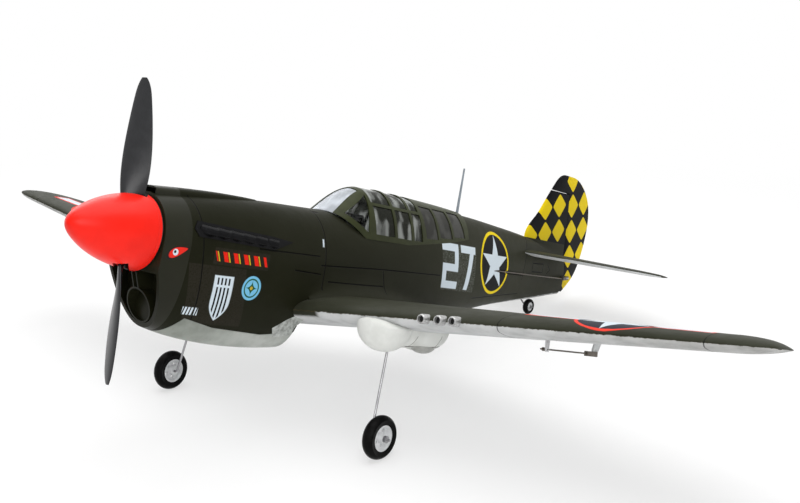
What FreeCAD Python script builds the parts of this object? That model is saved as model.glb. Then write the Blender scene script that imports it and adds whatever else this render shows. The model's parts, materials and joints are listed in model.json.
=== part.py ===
"""Foam electric warbird, one metre class, tail-dragger, as an assembly of separate pieces.

Every piece is drawn in flying attitude: +X is the left wing, +Y runs aft, +Z is up, the
propeller shaft is the Y axis and the tip of the spinner is at Y = 0.  The last part sits the
finished model on its three wheels, nose up, with the origin under the middle of its box.
"""
import FreeCAD, Part
import math
import os
from FreeCAD import Matrix, Placement, Vector

os.makedirs("parts", exist_ok=True)

# ---------------------------------------------------------------- driving dimensions, mm
CLEARANCE = 0.3              # between pieces that move past each other
SEAT_GAP = 0.08              # between a glued piece and the curved face that it sits on
RUNNING_FIT = 0.05           # radial, shaft in hole

SPINNER_LENGTH = 73.0
SPINNER_RADIUS = 34.0
SPINNER_WALL = 1.4
BACKPLATE_THICKNESS = 2.6
PROP_RADIUS = 132.5
PROP_PITCH = 203.0
PROP_PLANE = SPINNER_LENGTH - 11.0
PROP_HUB_RADIUS = 8.0
PROP_HUB_LENGTH = 12.0
PROP_REST_ANGLE = 5.2        # degrees the blades lean from upright at rest
SHAFT_RADIUS = 2.0
MOTOR_RADIUS = 14.0
MOTOR_LENGTH = 40.0

COWL_FRONT = SPINNER_LENGTH + 2.2
COWL_REAR = COWL_FRONT + 28.8
COWL_WALL = 3.0
CHIN_LIP_TOP = -27.0         # where the slanted chin face starts
CHIN_RAKE = 24.0             # how far the chin's lower lip sits behind its top

CANOPY_FRONT = 296.0
CANOPY_REAR = 532.0
CANOPY_FRAME = 0.9
CANOPY_GLAZING = 0.8

WING_ROOT_LE = 244.0         # leading edge at the centre line
WING_ROOT_CHORD = 252.0
WING_ROOT_Z = -55.2
WING_TIP_START = 445.0
WING_TIP_LENGTH = 45.0
WING_TIP_LE = 277.0
WING_TIP_CHORD = 116.0
WING_RISE = 0.124            # dihedral, rise per mm of span
WING_THICKNESS = 0.13
WING_CAMBER = 0.0125
AILERON_INNER = 262.0
AILERON_OUTER = WING_TIP_START - 7.0
AILERON_HINGE = 0.76         # share of the chord
AILERON_THROW = 20.0

STAB_Z = 45.5
STAB_ROOT_LE = 676.0
STAB_BREAK = 125.0
STAB_TIP_LENGTH = 47.0
STAB_BREAK_LE = 702.0
STAB_TE = 806.0
STAB_BREAK_TE = 800.0
STAB_THICKNESS = 8.0
STAB_TIP_THICKNESS = 5.5
ELEVATOR_HINGE_Y = 752.0
ELEVATOR_INNER = 12.0
ELEVATOR_THROW = 20.0

RUDDER_HINGE_LOW = Vector(0, 804.0, 2.5)
RUDDER_HINGE_HIGH = Vector(0, 784.0, 131.0)
RUDDER_THROW = 25.0
RUDDER_NOSE_RADIUS = 3.6
FIN_TOP = 131.0

HORN_REACH = 19.5            # aileron horn, hinge line to clevis pin
ROD_RADIUS = 0.75
SERVO_SIZE = Vector(26.0, 23.0, 12.0)

WHEEL_X = 146.5
WHEEL_Y = 275.0
WHEEL_Z = -149.0
TYRE_RADIUS = 20.9
TYRE_WIDTH = 12.5
HUB_RADIUS = 12.5
AXLE_RADIUS = 1.25
STRUT_TOP_X = 130.0
STRUT_TOP_Y = 285.0
COLLAR_LENGTH = 3.0
COLLAR_RADIUS = 3.2
AXLE_TIP = 3.0               # bare axle outboard of the collar
TAIL_WHEEL_Y = 735.0
TAIL_WHEEL_Z = -23.6
TAIL_WHEEL_RADIUS = 10.0
TAIL_WHEEL_WIDTH = 7.0

BATTERY = Vector(34.0, 104.0, 24.0)

# Fuselage stations: Y, half width, top, bottom, height of the widest point.
FUSELAGE = [
    (68.0, 35.0, 35.0, -72.0, -4.0),
    (104.0, 38.0, 39.0, -84.0, -6.0),
    (150.0, 39.5, 42.5, -92.0, -8.0),
    (200.0, 41.0, 45.5, -95.5, -8.0),
    (262.0, 42.5, 47.5, -94.0, -8.0),
    (338.0, 43.5, 51.0, -84.0, -6.0),
    (420.0, 42.5, 61.0, -70.0, -4.0),
    (497.0, 38.0, 72.0, -56.0, 0.0),
    (560.0, 31.0, 73.0, -42.0, 6.0),
    (616.0, 24.5, 70.0, -30.5, 10.0),
    (700.0, 14.5, 64.0, -17.5, 16.0),
    (760.0, 8.6, 56.0, -8.5, 20.0),
    (812.0, 3.9, 48.0, -1.0, 22.0),
]
# Canopy stations: Y, half width at the sill, top.
CANOPY = [
    (288.0, 30.0, 42.0),
    (318.0, 36.0, 63.5),
    (345.0, 38.0, 78.5),
    (365.0, 38.5, 80.5),
    (420.0, 38.5, 80.0),
    (480.0, 36.0, 78.6),
    (534.0, 32.5, 76.0),
]
CANOPY_BASE = 10.0
# Side profile of the canopy's seat on the fuselage, Y and Z.
CANOPY_SILL = [(CANOPY_FRONT, 50.0), (302.0, 49.5), (338.0, 28.0), (410.0, 29.0),
               (492.0, 39.5), (CANOPY_REAR, 47.0)]
# Side profile of the battery hatch's joint line, Y and Z.
HATCH_LINE = [(107.0, -84.0), (121.0, -68.0), (157.0, -75.0), (219.0, -78.5), (262.0, -74.0)]
HATCH_DROP = 60.0
BAY_TOP = -36.0


# ---------------------------------------------------------------- helpers
def box(x0, x1, y0, y1, z0, z1):
    """A block between two corners."""
    return Part.makeBox(x1 - x0, y1 - y0, z1 - z0, Vector(x0, y0, z0))


def rod(start, end, radius, end_radius=None):
    """A round bar, or a cone, from one point to another."""
    line = end - start
    if end_radius is None or abs(end_radius - radius) < 1e-6:
        return Part.makeCylinder(radius, line.Length, start, line)
    return Part.makeCone(radius, end_radius, line.Length, start, line)


def side_prism(points, x0, x1):
    """A side profile of (Y, Z) points carried across from x0 to x1."""
    corners = [Vector(x0, y, z) for y, z in points]
    face = Part.Face(Part.makePolygon(corners + corners[:1]))
    return face.extrude(Vector(x1 - x0, 0, 0))


def plan_prism(points, z0, z1):
    """A plan outline of (X, Y) points carried up from z0 to z1."""
    corners = [Vector(x, y, z0) for x, y in points]
    face = Part.Face(Part.makePolygon(corners + corners[:1]))
    return face.extrude(Vector(0, 0, z1 - z0))


def mirrored(shape):
    """The same piece on the other wing."""
    return shape.mirror(Vector(0, 0, 0), Vector(1, 0, 0))


def oval(y, half_width, top, bottom, middle, inset=0.0, power=2.2, count=20):
    """A closed fuselage section: two half superellipses that meet at the widest point."""
    points = []
    for step in range(count):
        angle = 2 * math.pi * step / count
        c, s = math.cos(angle), math.sin(angle)
        reach = (top - middle if s >= 0 else middle - bottom) - inset
        x = (half_width - inset) * math.copysign(abs(c) ** (2 / power), c)
        z = middle + reach * math.copysign(abs(s) ** (2 / power), s)
        points.append(Vector(x, y, z))
    curve = Part.BSplineCurve()
    curve.interpolate(Points=points, PeriodicFlag=True)
    return Part.Wire(curve.toShape())


def arch(y, half_width, top, inset=0.0, power=2.2, count=12):
    """A canopy section: half a superellipse on a straight base."""
    points = []
    for step in range(count + 1):
        angle = math.pi * step / count
        c, s = math.cos(angle), abs(math.sin(angle))
        x = (half_width - inset) * math.copysign(abs(c) ** (2 / power), c)
        points.append(Vector(x, y, CANOPY_BASE + (top - inset - CANOPY_BASE) * s ** (2 / power)))
    curve = Part.BSplineCurve()
    curve.interpolate(Points=points)
    return Part.Wire([curve.toShape(), Part.makeLine(points[-1], points[0])])


def half_thickness(share, thickness):
    """Half the thickness of a four-digit aerofoil at a share of its chord."""
    return 5 * thickness * (0.2969 * math.sqrt(share) - 0.126 * share - 0.3516 * share ** 2
                            + 0.2843 * share ** 3 - 0.1036 * share ** 4)


def aerofoil(chord, thickness, camber=0.0, edge=0.8):
    """Points round a cambered aerofoil from the upper trailing edge to the lower one.

    Thickness follows the four-digit formula, camber is a parabola that peaks at 40 percent,
    and half of the blunt trailing edge is added in proportion to the distance aft.
    """
    shares = [1.0, 0.85, 0.65, 0.45, 0.28, 0.14, 0.05, 0.0125]
    upper, lower = [], []
    for t in shares:
        half = half_thickness(t, thickness) + edge / 2 * t
        peak = 0.4
        if t < peak:
            line = camber * chord * (2 * peak * t - t * t) / peak ** 2
        else:
            line = camber * chord * (1 - 2 * peak + 2 * peak * t - t * t) / (1 - peak) ** 2
        upper.append((t * chord, line + half))
        lower.append((t * chord, line - half))
    return upper + [(0.0, 0.0)] + lower[::-1]


def foil_wire(points):
    """A section wire: one smooth curve round the nose and a short straight trailing edge."""
    curve = Part.BSplineCurve()
    curve.interpolate(Points=points)
    return Part.Wire([curve.toShape(), Part.makeLine(points[-1], points[0])])


def placed(shape, placement):
    """A copy of a shape moved by a placement on top of its own."""
    copy = shape.copy()
    copy.Placement = placement.multiply(copy.Placement)
    return copy


def solid_of(shape):
    """The main solid of a boolean's result, without the slivers that a cut can leave."""
    return max(shape.Solids, key=lambda solid: solid.Volume)


# ---------------------------------------------------------------- fuselage forms
def fuselage_form(inset=0.0):
    """The outer form of nose, body and tail."""
    wires = [oval(y, w, top, low, mid, inset) for y, w, top, low, mid in FUSELAGE]
    return Part.makeLoft(wires, True, False)


def canopy_form(inset=0.0):
    """The outer form of the canopy, drawn in by inset."""
    return Part.makeLoft([arch(y, w, top, inset) for y, w, top in CANOPY], True, False)


def canopy_zone(rear=CANOPY_REAR):
    """Everything above the canopy's seat."""
    top = 95.0
    return side_prism(CANOPY_SILL + [(CANOPY_REAR, top), (CANOPY_FRONT, top)], -60, 60)


def hatch_zone(grow):
    """Everything below the hatch's joint line, grown by a clearance."""
    line = [(y - grow if i < 2 else (y + grow if i == 4 else y), z + grow)
            for i, (y, z) in enumerate(HATCH_LINE)]
    low = -120.0
    return side_prism([(line[0][0], low)] + line + [(line[-1][0], low)], -70, 70)


def fin_form():
    """Fin and rudder in one symmetrical lofted form."""
    outline = [  # height, leading edge, trailing edge, thickness
        (1.5, 792.0, 810.0, 4.0),
        (14.0, 770.0, 824.0, 6.5),
        (40.0, 720.0, 841.0, 8.0),
        (64.0, 694.0, 847.0, 8.5),
        (95.0, 713.0, 849.0, 8.0),
        (125.0, 734.0, 840.0, 7.0),
        (142.0, 746.0, 824.0, 5.6),
        (151.0, 755.0, 808.0, 4.2),
        (155.0, 766.0, 792.0, 2.6),
    ]
    wires = []
    for z, front, rear, thick in outline:
        points = [Vector(x, front + t, z) for t, x in aerofoil(rear - front, thick, 0.0, 1.0)]
        wires.append(foil_wire(points))
    return Part.makeLoft(wires, True, False)


def body_side(y, z):
    """Half width of the body at a station and height, straight between its sections."""
    for (y0, *low), (y1, *high) in zip(FUSELAGE, FUSELAGE[1:]):
        if y0 <= y <= y1:
            share = (y - y0) / (y1 - y0)
            width, top, bottom, middle = (a + (b - a) * share for a, b in zip(low, high))
            reach = top - middle if z > middle else middle - bottom
            return width * (1 - min(abs(z - middle) / reach, 1.0) ** 2.2) ** (1 / 2.2)


# ---------------------------------------------------------------- wing forms
def wing_chord(x):
    """Leading edge, chord and chord-line height of the wing at a span station."""
    share = min(x, WING_TIP_START) / WING_TIP_START
    front = WING_ROOT_LE + (WING_TIP_LE - WING_ROOT_LE) * share
    chord = WING_ROOT_CHORD + (WING_TIP_CHORD - WING_ROOT_CHORD) * share
    if x > WING_TIP_START:
        out = (x - WING_TIP_START) / WING_TIP_LENGTH
        shrink = math.sqrt(1 - out * out)
        nose_share = 0.14
        front += chord * nose_share * (1 - shrink)
        chord *= shrink
    return front, chord, WING_ROOT_Z + WING_RISE * x


def wing_wire(x):
    """The wing's section at a span station."""
    front, chord, z = wing_chord(x)
    foil = aerofoil(chord, WING_THICKNESS * chord, WING_CAMBER)
    return foil_wire([Vector(x, front + y, z + h) for y, h in foil])


def wing_form():
    """Half of the wing, centre line to rounded tip."""
    panel = Part.makeLoft([wing_wire(0.0), wing_wire(WING_TIP_START)], True, True)
    shares = (0.0, 0.3, 0.55, 0.75, 0.89, 0.97, 0.995)
    tip = Part.makeLoft([wing_wire(WING_TIP_START + WING_TIP_LENGTH * s) for s in shares],
                        True, False)
    return panel.fuse(tip).removeSplitter()


def hinge_point(x):
    """A point of the aileron's hinge line: mid thickness at a fixed share of the chord."""
    front, chord, z = wing_chord(x)
    t = AILERON_HINGE
    camber = WING_CAMBER * chord * (0.2 + 0.8 * t - t * t) / 0.36
    return Vector(x, front + chord * t, z + camber)


def hinge_radius(x):
    """Half the wing's thickness on the hinge line."""
    front, chord, z = wing_chord(x)
    return half_thickness(AILERON_HINGE, WING_THICKNESS * chord) + 0.4 * AILERON_HINGE


def wing_top(x, y):
    """Height of the wing's upper face, of its chord line where the point lies off the wing."""
    front, chord, z = wing_chord(x)
    share = (y - front) / chord
    if not 0.0 < share < 1.0:
        return z
    return z + half_thickness(share, WING_THICKNESS * chord) + 0.4 * share


# Wing-root fairing stations: Y, reach out along the wing, rise on the body.
ROOT_FAIRING = [(262.0, 7.0, 7.0), (280.0, 16.0, 17.0), (310.0, 24.0, 25.0), (370.0, 27.0, 26.0),
                (430.0, 25.0, 21.0), (488.0, 20.0, 12.0)]


def root_fairing_form():
    """The hollow-sided fairing that leads from the body's side on to the wing."""
    wires = []
    for y, reach, rise in ROOT_FAIRING:
        side = body_side(y, wing_top(40.0, y))
        corner = Vector(side - 1.0, y, wing_top(side, y))
        foot = Vector(side + reach, y, wing_top(side + reach, y) - 0.3)
        head_z = corner.z + rise
        head = Vector(body_side(y, head_z) - 0.4, y, head_z)
        middle = foot * 0.3 + head * 0.3 + corner * 0.4
        inner = side - 12.0
        path = [Part.Arc(head, middle, foot).toShape(),
                Part.makeLine(foot, Vector(foot.x, y, foot.z - 5.0)),
                Part.makeLine(Vector(foot.x, y, foot.z - 5.0), Vector(inner, y, foot.z - 5.0)),
                Part.makeLine(Vector(inner, y, foot.z - 5.0), Vector(inner, y, head_z)),
                Part.makeLine(Vector(inner, y, head_z), head)]
        wires.append(Part.Wire(path))
    return Part.makeLoft(wires, True, False)


def stab_section(x):
    """Leading edge, trailing edge and thickness of the tailplane at a span station."""
    share = min(x, STAB_BREAK) / STAB_BREAK
    front = STAB_ROOT_LE + (STAB_BREAK_LE - STAB_ROOT_LE) * share
    rear = STAB_TE + (STAB_BREAK_TE - STAB_TE) * share
    thick = STAB_THICKNESS + (STAB_TIP_THICKNESS - STAB_THICKNESS) * share
    if x > STAB_BREAK:
        out = min((x - STAB_BREAK) / STAB_TIP_LENGTH, 0.99)
        shrink = math.sqrt(1 - out * out)
        middle = (front + rear) / 2
        front = middle - (middle - front) * shrink
        rear = middle + (rear - middle) * shrink
        thick *= 0.35 + 0.65 * shrink
    return front, rear, thick


def stab_hinge_radius(x):
    """Half the tailplane's thickness on the elevator's hinge line."""
    front, rear, thick = stab_section(x)
    share = (ELEVATOR_HINGE_Y - front) / (rear - front)
    return half_thickness(share, thick) + 0.5 * share


def stab_form():
    """Half of the tailplane with its elevator, centre line to rounded tip."""
    def wire(x):
        front, rear, thick = stab_section(x)
        foil = aerofoil(rear - front, thick, 0.0, 1.0)
        return foil_wire([Vector(x, front + y, STAB_Z + h) for y, h in foil])
    panel = Part.makeLoft([wire(0.0), wire(STAB_BREAK)], True, True)
    shares = (0.0, 0.35, 0.62, 0.82, 0.94, 0.99)
    tip = Part.makeLoft([wire(STAB_BREAK + STAB_TIP_LENGTH * s) for s in shares], True, False)
    return panel.fuse(tip).removeSplitter()


COVE_GROWTH = 1.07           # the cove's radius against the nose that turns in it
NOSE_SHARE = 0.97            # the elevator nose's radius against half the thickness there


def hinge_bars(low, high, low_radius, high_radius):
    """The round nose of a control surface on its hinge line, and the cove that clears it."""
    axis = high - low
    reach = 4.0 / axis.Length
    start, end = low - axis * reach, high + axis * reach
    taper = (high_radius - low_radius) * reach
    nose = rod(start, end, low_radius - taper, high_radius + taper)
    cove = rod(start, end, (low_radius - taper) * COVE_GROWTH + CLEARANCE,
               (high_radius + taper) * COVE_GROWTH + CLEARANCE)
    return nose, cove


# ---------------------------------------------------------------- linkages
def frame_at(origin, axis, reach):
    """Placement with local X on the hinge axis and local Z against the horn's reach."""
    ex = Vector(axis).normalize()
    ez = -(reach - ex * reach.dot(ex))
    ez.normalize()
    ey = ez.cross(ex)
    return Placement(Matrix(ex.x, ey.x, ez.x, origin.x, ex.y, ey.y, ez.y, origin.y,
                            ex.z, ey.z, ez.z, origin.z, 0, 0, 0, 1))


HORN_THICKNESS = 1.6
PIN_RADIUS = 0.6
CLEVIS_LENGTH = 15.0
TUNNEL_RADIUS = 2.0


def horn(reach, root, base_length):
    """A control horn: a plate that runs from the surface's skin down to the clevis pin."""
    t = HORN_THICKNESS / 2
    plate = side_prism([(-3.0, -reach - 2.4), (2.6, -reach - 2.4), (base_length, -root),
                        (1.0, -root), (-3.4, -reach + 4.5)], -t, t)
    hole = rod(Vector(-3, 0, -reach), Vector(3, 0, -reach), PIN_RADIUS + RUNNING_FIT)
    return plate.cut(hole)


def rod_line(reach, run):
    """Where the wire leaves its clevis, and the servo arm's pin, in the local frame."""
    flat = Vector(0, run.y, run.z).normalize()
    return Vector(0, 0, -reach) + flat * (CLEVIS_LENGTH - 3.4), Vector(0, 0, -reach) + run


def tunnel(reach, run, start_share, slack):
    """The bore in the foam that a rod slides in, from a share of its run past the arm."""
    start, end = rod_line(reach, run)
    line = end - start
    return rod(start + line * start_share + slack, start + line * 1.03 + slack, TUNNEL_RADIUS)


def pushrod(reach, run, past, shift):
    """A clevis on the horn's pin and a wire that runs to the servo arm.

    run is the vector from the horn's pin to the servo arm's pin, in the local frame; shift
    is how far to the side of the horn's plane the arm's plate lies.
    """
    t = HORN_THICKNESS / 2 + 0.2
    cheek = 1.1
    flat = Vector(0, run.y, run.z).normalize()
    block = Part.makeBox(2 * (t + cheek), CLEVIS_LENGTH, 4.6,
                         Vector(-t - cheek, -2.6, -2.3))
    slot = Part.makeBox(2 * t, 10.0, 6.0, Vector(-t, -5.0, -3.0))
    pin = rod(Vector(-t - cheek, 0, 0), Vector(t + cheek, 0, 0), PIN_RADIUS)
    clevis = block.cut(slot).fuse(pin)
    clevis.Placement = Placement(Matrix(1, 0, 0, 0, 0, flat.y, -flat.z, 0,
                                        0, flat.z, flat.y, -reach, 0, 0, 0, 1))
    start, end = rod_line(reach, run)
    wire = rod(start, end + (end - start).normalize() * past, ROD_RADIUS)
    arm_pin = Vector(0, 0, -reach) + run
    side = math.copysign(1.0, shift)
    barrel = rod(arm_pin - Vector(side * 1.4, 0, 0), arm_pin + Vector(shift + side * 1.6, 0, 0),
                 PIN_RADIUS)
    boss = rod(arm_pin - Vector(side * 1.8, 0, 0),
               arm_pin + Vector(shift - side * (HORN_THICKNESS / 2 + 0.2), 0, 0), 1.7)
    return solid_of(clevis.fuse(wire).fuse(barrel).fuse(boss))


def servo_arm(reach, shift):
    """A tapered arm from the servo's spline to the rod's pin, with its hub."""
    t = HORN_THICKNESS / 2
    plate = side_prism([(-3.2, 0.0), (3.2, 0.0), (1.8, -reach - 2.2), (-1.8, -reach - 2.2)],
                       shift - t, shift + t)
    side = math.copysign(1.0, shift)
    hub = rod(Vector(shift - side * t, 0, 0), Vector(shift + side * (t + 2.0), 0, 0), 3.4)
    hole = rod(Vector(shift - 3, 0, -reach), Vector(shift + 3, 0, -reach),
               PIN_RADIUS + RUNNING_FIT)
    return plate.fuse(hub).cut(hole)


def servo(shift, flip=1.0):
    """A micro servo on its side: case, top gear box and a short output spline."""
    side = math.copysign(1.0, shift)
    face = shift + side * (HORN_THICKNESS / 2 + 2.0 + 0.3)
    width, length, height = SERVO_SIZE.z, SERVO_SIZE.y, SERVO_SIZE.x
    near, far = sorted((face, face + side * height))
    back = -length + 6.0 if flip > 0 else -6.0
    return box(near, far, back, back + length, -width / 2, width / 2)


# ---------------------------------------------------------------- build
nodes = {}

wing_left = wing_form()
wing_whole = wing_left.fuse(mirrored(wing_left)).removeSplitter()

# -- ailerons --------------------------------------------------------------------------
AILERON_GAP = 0.6            # between the aileron's ends and the wing
BEYOND_EDGE = 80.0           # any distance past the trailing edge
hinge_in, hinge_out = hinge_point(AILERON_INNER), hinge_point(AILERON_OUTER)
link_axis = hinge_out - hinge_in
aileron_span = link_axis.Length
nose, cove = hinge_bars(hinge_in, hinge_out, hinge_radius(AILERON_INNER),
                        hinge_radius(AILERON_OUTER))
hinge_place = frame_at(hinge_in, link_axis, Vector(0, 0, -1))
aft_block = placed(box(0, aileron_span, 0, BEYOND_EDGE, -30, 30), hinge_place)
slot_block = placed(box(0, aileron_span, -20, BEYOND_EDGE, -30, 30), hinge_place)
keep_block = placed(box(AILERON_GAP, aileron_span - AILERON_GAP, -20, BEYOND_EDGE, -30, 30),
                    hinge_place)
aileron = solid_of(wing_left.common(aft_block.fuse(nose)).common(keep_block))
wing_slot = aft_block.fuse(cove.common(slot_block))

# -- aileron linkage -------------------------------------------------------------------
LINK_X = 285.0
AILERON_ROD_LENGTH = 73.0
LINK_RUN = Vector(0, -AILERON_ROD_LENGTH, 0)
ARM_SHIFT = 3.2
link_origin = hinge_point(LINK_X)
link_place = frame_at(link_origin, link_axis, Vector(0, 0, -1))
arm_place = frame_at(link_origin + link_place.Rotation.multVec(LINK_RUN), link_axis,
                     Vector(0, 0, -1))


horn_root = hinge_radius(LINK_X) - 1.0
aileron_horn = placed(horn(HORN_REACH, horn_root, 11.0), link_place).cut(aileron)
aileron_rod = placed(pushrod(HORN_REACH, LINK_RUN, 5.0, ARM_SHIFT), link_place)
aileron_arm = placed(servo_arm(HORN_REACH, ARM_SHIFT), arm_place)
aileron_servo = placed(servo(ARM_SHIFT), arm_place)
servo_well = placed(box(0.6, 7.0, -12.0, 12.0, -30, 5.5), arm_place)
servo_pocket = aileron_servo.fuse(placed(box(ARM_SHIFT + 3.1, ARM_SHIFT + 3.1 + SERVO_SIZE.x,
                                             -SERVO_SIZE.y + 6.0, 6.0, -30, 0), arm_place))
wing_cuts = wing_slot.fuse(servo_well).fuse(servo_pocket)
wing = wing_whole.cut(wing_cuts).cut(mirrored(wing_cuts))
nodes["aileron_left"] = aileron
nodes["aileron_right"] = mirrored(aileron)
for side, flip in (("left", lambda s: s), ("right", mirrored)):
    nodes["aileron_horn_" + side] = flip(solid_of(aileron_horn))
    nodes["aileron_pushrod_" + side] = flip(aileron_rod)
    nodes["aileron_servo_arm_" + side] = flip(aileron_arm)
    nodes["aileron_servo_" + side] = flip(aileron_servo)

# -- fuselage --------------------------------------------------------------------------
body = fuselage_form()
fin = fin_form()
stab_left = stab_form()
stab_whole = stab_left.fuse(mirrored(stab_left)).removeSplitter()

rudder_axis = (RUDDER_HINGE_HIGH - RUDDER_HINGE_LOW).normalize()


def rudder_hinge(z):
    """A point of the rudder's hinge line at a height."""
    share = (z - RUDDER_HINGE_LOW.z) / (RUDDER_HINGE_HIGH.z - RUDDER_HINGE_LOW.z)
    return RUDDER_HINGE_LOW + (RUDDER_HINGE_HIGH - RUDDER_HINGE_LOW) * share


slot_gap = 1.2
low_hinge, high_hinge = rudder_hinge(-40.0), rudder_hinge(FIN_TOP)
aft_of_rudder = side_prism([(low_hinge.y, low_hinge.z), (high_hinge.y, high_hinge.z),
                            (730.0, FIN_TOP), (730.0, 200.0), (900.0, 200.0), (900.0, -40.0)],
                           -40, 40)
rudder_nose = rod(rudder_hinge(-10.0), rudder_hinge(FIN_TOP + 1.0), RUDDER_NOSE_RADIUS)
rudder_cove = rod(low_hinge, rudder_hinge(FIN_TOP + 2.0), RUDDER_NOSE_RADIUS * COVE_GROWTH + CLEARANCE)
above_slot = side_prism([(730.0, FIN_TOP + slot_gap), (900.0, FIN_TOP + slot_gap),
                         (900.0, 200.0), (730.0, 200.0)], -40, 40)
below_slot_aft = side_prism([(low_hinge.y, low_hinge.z), (high_hinge.y, high_hinge.z),
                             (high_hinge.y, FIN_TOP + slot_gap), (900.0, FIN_TOP + slot_gap),
                             (900.0, -40.0)], -40, 40)
rudder = fin.common(above_slot.fuse(below_slot_aft).fuse(rudder_nose))
body_tail = body.fuse(fin)
body_tail = body_tail.cut(aft_of_rudder).cut(rudder_cove)

# -- tailplane and elevator ------------------------------------------------------------
JOINER_RADIUS = 1.5
JOINER_GRIP = 10.0


def hinge_exit():
    """Where the elevator's hinge line leaves the rounded tip of the tailplane."""
    front, rear, thick = stab_section(STAB_BREAK)
    middle = (front + rear) / 2
    shrink = (ELEVATOR_HINGE_Y - middle) / (rear - middle)
    return STAB_BREAK + STAB_TIP_LENGTH * math.sqrt(1 - shrink * shrink)


def elevator_noses(grow, extra):
    """The round nose of one elevator half, or its cove when grown."""
    last = hinge_exit() - 0.3
    shares = (0.0, 0.4, 0.65, 0.8, 0.9, 0.96, 1.0)
    stations = [ELEVATOR_INNER] + [STAB_BREAK + (last - STAB_BREAK) * share for share in shares]
    bars = [rod(Vector(x0, ELEVATOR_HINGE_Y, STAB_Z), Vector(x1, ELEVATOR_HINGE_Y, STAB_Z),
                stab_hinge_radius(x0) * grow + extra, stab_hinge_radius(x1) * grow + extra)
            for x0, x1 in zip(stations, stations[1:])]
    whole = bars[0]
    for bar in bars[1:]:
        whole = whole.fuse(bar)
    return whole


elevator_zone = box(ELEVATOR_INNER, 200, ELEVATOR_HINGE_Y, 830, STAB_Z - 10, STAB_Z + 10)
joiner = rod(Vector(-ELEVATOR_INNER - JOINER_GRIP, ELEVATOR_HINGE_Y, STAB_Z),
             Vector(ELEVATOR_INNER + JOINER_GRIP, ELEVATOR_HINGE_Y, STAB_Z), JOINER_RADIUS)
joiner_bore = rod(Vector(-ELEVATOR_INNER, ELEVATOR_HINGE_Y, STAB_Z),
                  Vector(ELEVATOR_INNER, ELEVATOR_HINGE_Y, STAB_Z),
                  JOINER_RADIUS + RUNNING_FIT)
elevator = stab_left.common(elevator_zone).fuse(elevator_noses(NOSE_SHARE, 0.0))
elevator = solid_of(elevator.cut(joiner))
elevator_cove = elevator_noses(COVE_GROWTH, CLEARANCE)
behind_hinge = box(-200, 200, ELEVATOR_HINGE_Y, 830, STAB_Z - 10, STAB_Z + 10)
stabilizer = stab_whole.cut(behind_hinge).cut(elevator_cove).cut(mirrored(elevator_cove))
stabilizer = stabilizer.cut(joiner_bore)
nodes["elevator_left"] = elevator
nodes["elevator_right"] = mirrored(elevator)
nodes["elevator_joiner"] = joiner
nodes["rudder"] = rudder

# -- rudder and elevator linkages ------------------------------------------------------
RUDDER_REACH = 10.0
rudder_link = rudder_hinge(21.0)
rudder_run_world = Vector(26.3, -360.0, -7.5)
rudder_place = frame_at(rudder_link, rudder_axis, Vector(1, 0, 0))
rudder_run = rudder_place.Rotation.inverted().multVec(rudder_run_world)
rudder_arm_place = frame_at(rudder_link + rudder_run_world, rudder_axis, Vector(1, 0, 0))
RUDDER_SHIFT = -3.2
rudder_horn = placed(horn(RUDDER_REACH, 2.5, 9.0), rudder_place).cut(rudder)
nodes["rudder_horn"] = solid_of(rudder_horn)
nodes["rudder_pushrod"] = placed(pushrod(RUDDER_REACH, rudder_run, 4.0, RUDDER_SHIFT),
                                 rudder_place)
nodes["rudder_servo_arm"] = placed(servo_arm(RUDDER_REACH, RUDDER_SHIFT), rudder_arm_place)
nodes["rudder_servo"] = placed(servo(RUDDER_SHIFT, -1.0), rudder_arm_place)

ELEVATOR_REACH = 14.0
ELEVATOR_LINK_X = -15.0
elevator_link = Vector(ELEVATOR_LINK_X, ELEVATOR_HINGE_Y, STAB_Z)
elevator_run_world = Vector(-19.0, -312.0, -24.0)
elevator_place = frame_at(elevator_link, Vector(1, 0, 0), Vector(0, 0, -1))
elevator_arm_place = frame_at(elevator_link + elevator_run_world, Vector(1, 0, 0),
                              Vector(0, 0, -1))
ELEVATOR_SHIFT = 3.2
nodes["elevator_pushrod"] = placed(pushrod(ELEVATOR_REACH, elevator_run_world, 4.0,
                                           ELEVATOR_SHIFT), elevator_place)
nodes["elevator_servo_arm"] = placed(servo_arm(ELEVATOR_REACH, ELEVATOR_SHIFT),
                                     elevator_arm_place)
nodes["elevator_servo"] = placed(servo(ELEVATOR_SHIFT, -1.0), elevator_arm_place)

elevator_horn = placed(horn(ELEVATOR_REACH, 2.3, 9.0), elevator_place)
nodes["elevator_horn"] = solid_of(elevator_horn.cut(mirrored(elevator)))


def horn_notch(reach, placement):
    """The slot that lets a control horn swing past the edge of the fixed surface."""
    width = HORN_THICKNESS / 2 + 0.4
    disc = rod(Vector(-width, 0, 0), Vector(width, 0, 0), reach)
    return placed(disc.common(box(-5, 5, -reach, reach, -reach, -1.5)), placement)


wing = wing.cut(horn_notch(11.0, link_place)).cut(mirrored(horn_notch(11.0, link_place)))
stabilizer = stabilizer.cut(horn_notch(9.0, elevator_place))

# -- fuselage cut-outs -----------------------------------------------------------------
saddle_front = WING_ROOT_LE + 18.0
saddle_rear = WING_ROOT_LE + WING_ROOT_CHORD
wing_saddle = side_prism([(saddle_front, -130.0), (saddle_front, WING_ROOT_Z),
                          (saddle_rear, WING_ROOT_Z), (saddle_rear, -130.0)], -70, 70)
nose_zone = box(-70, 70, 0, COWL_REAR, -130, 80)

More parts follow.
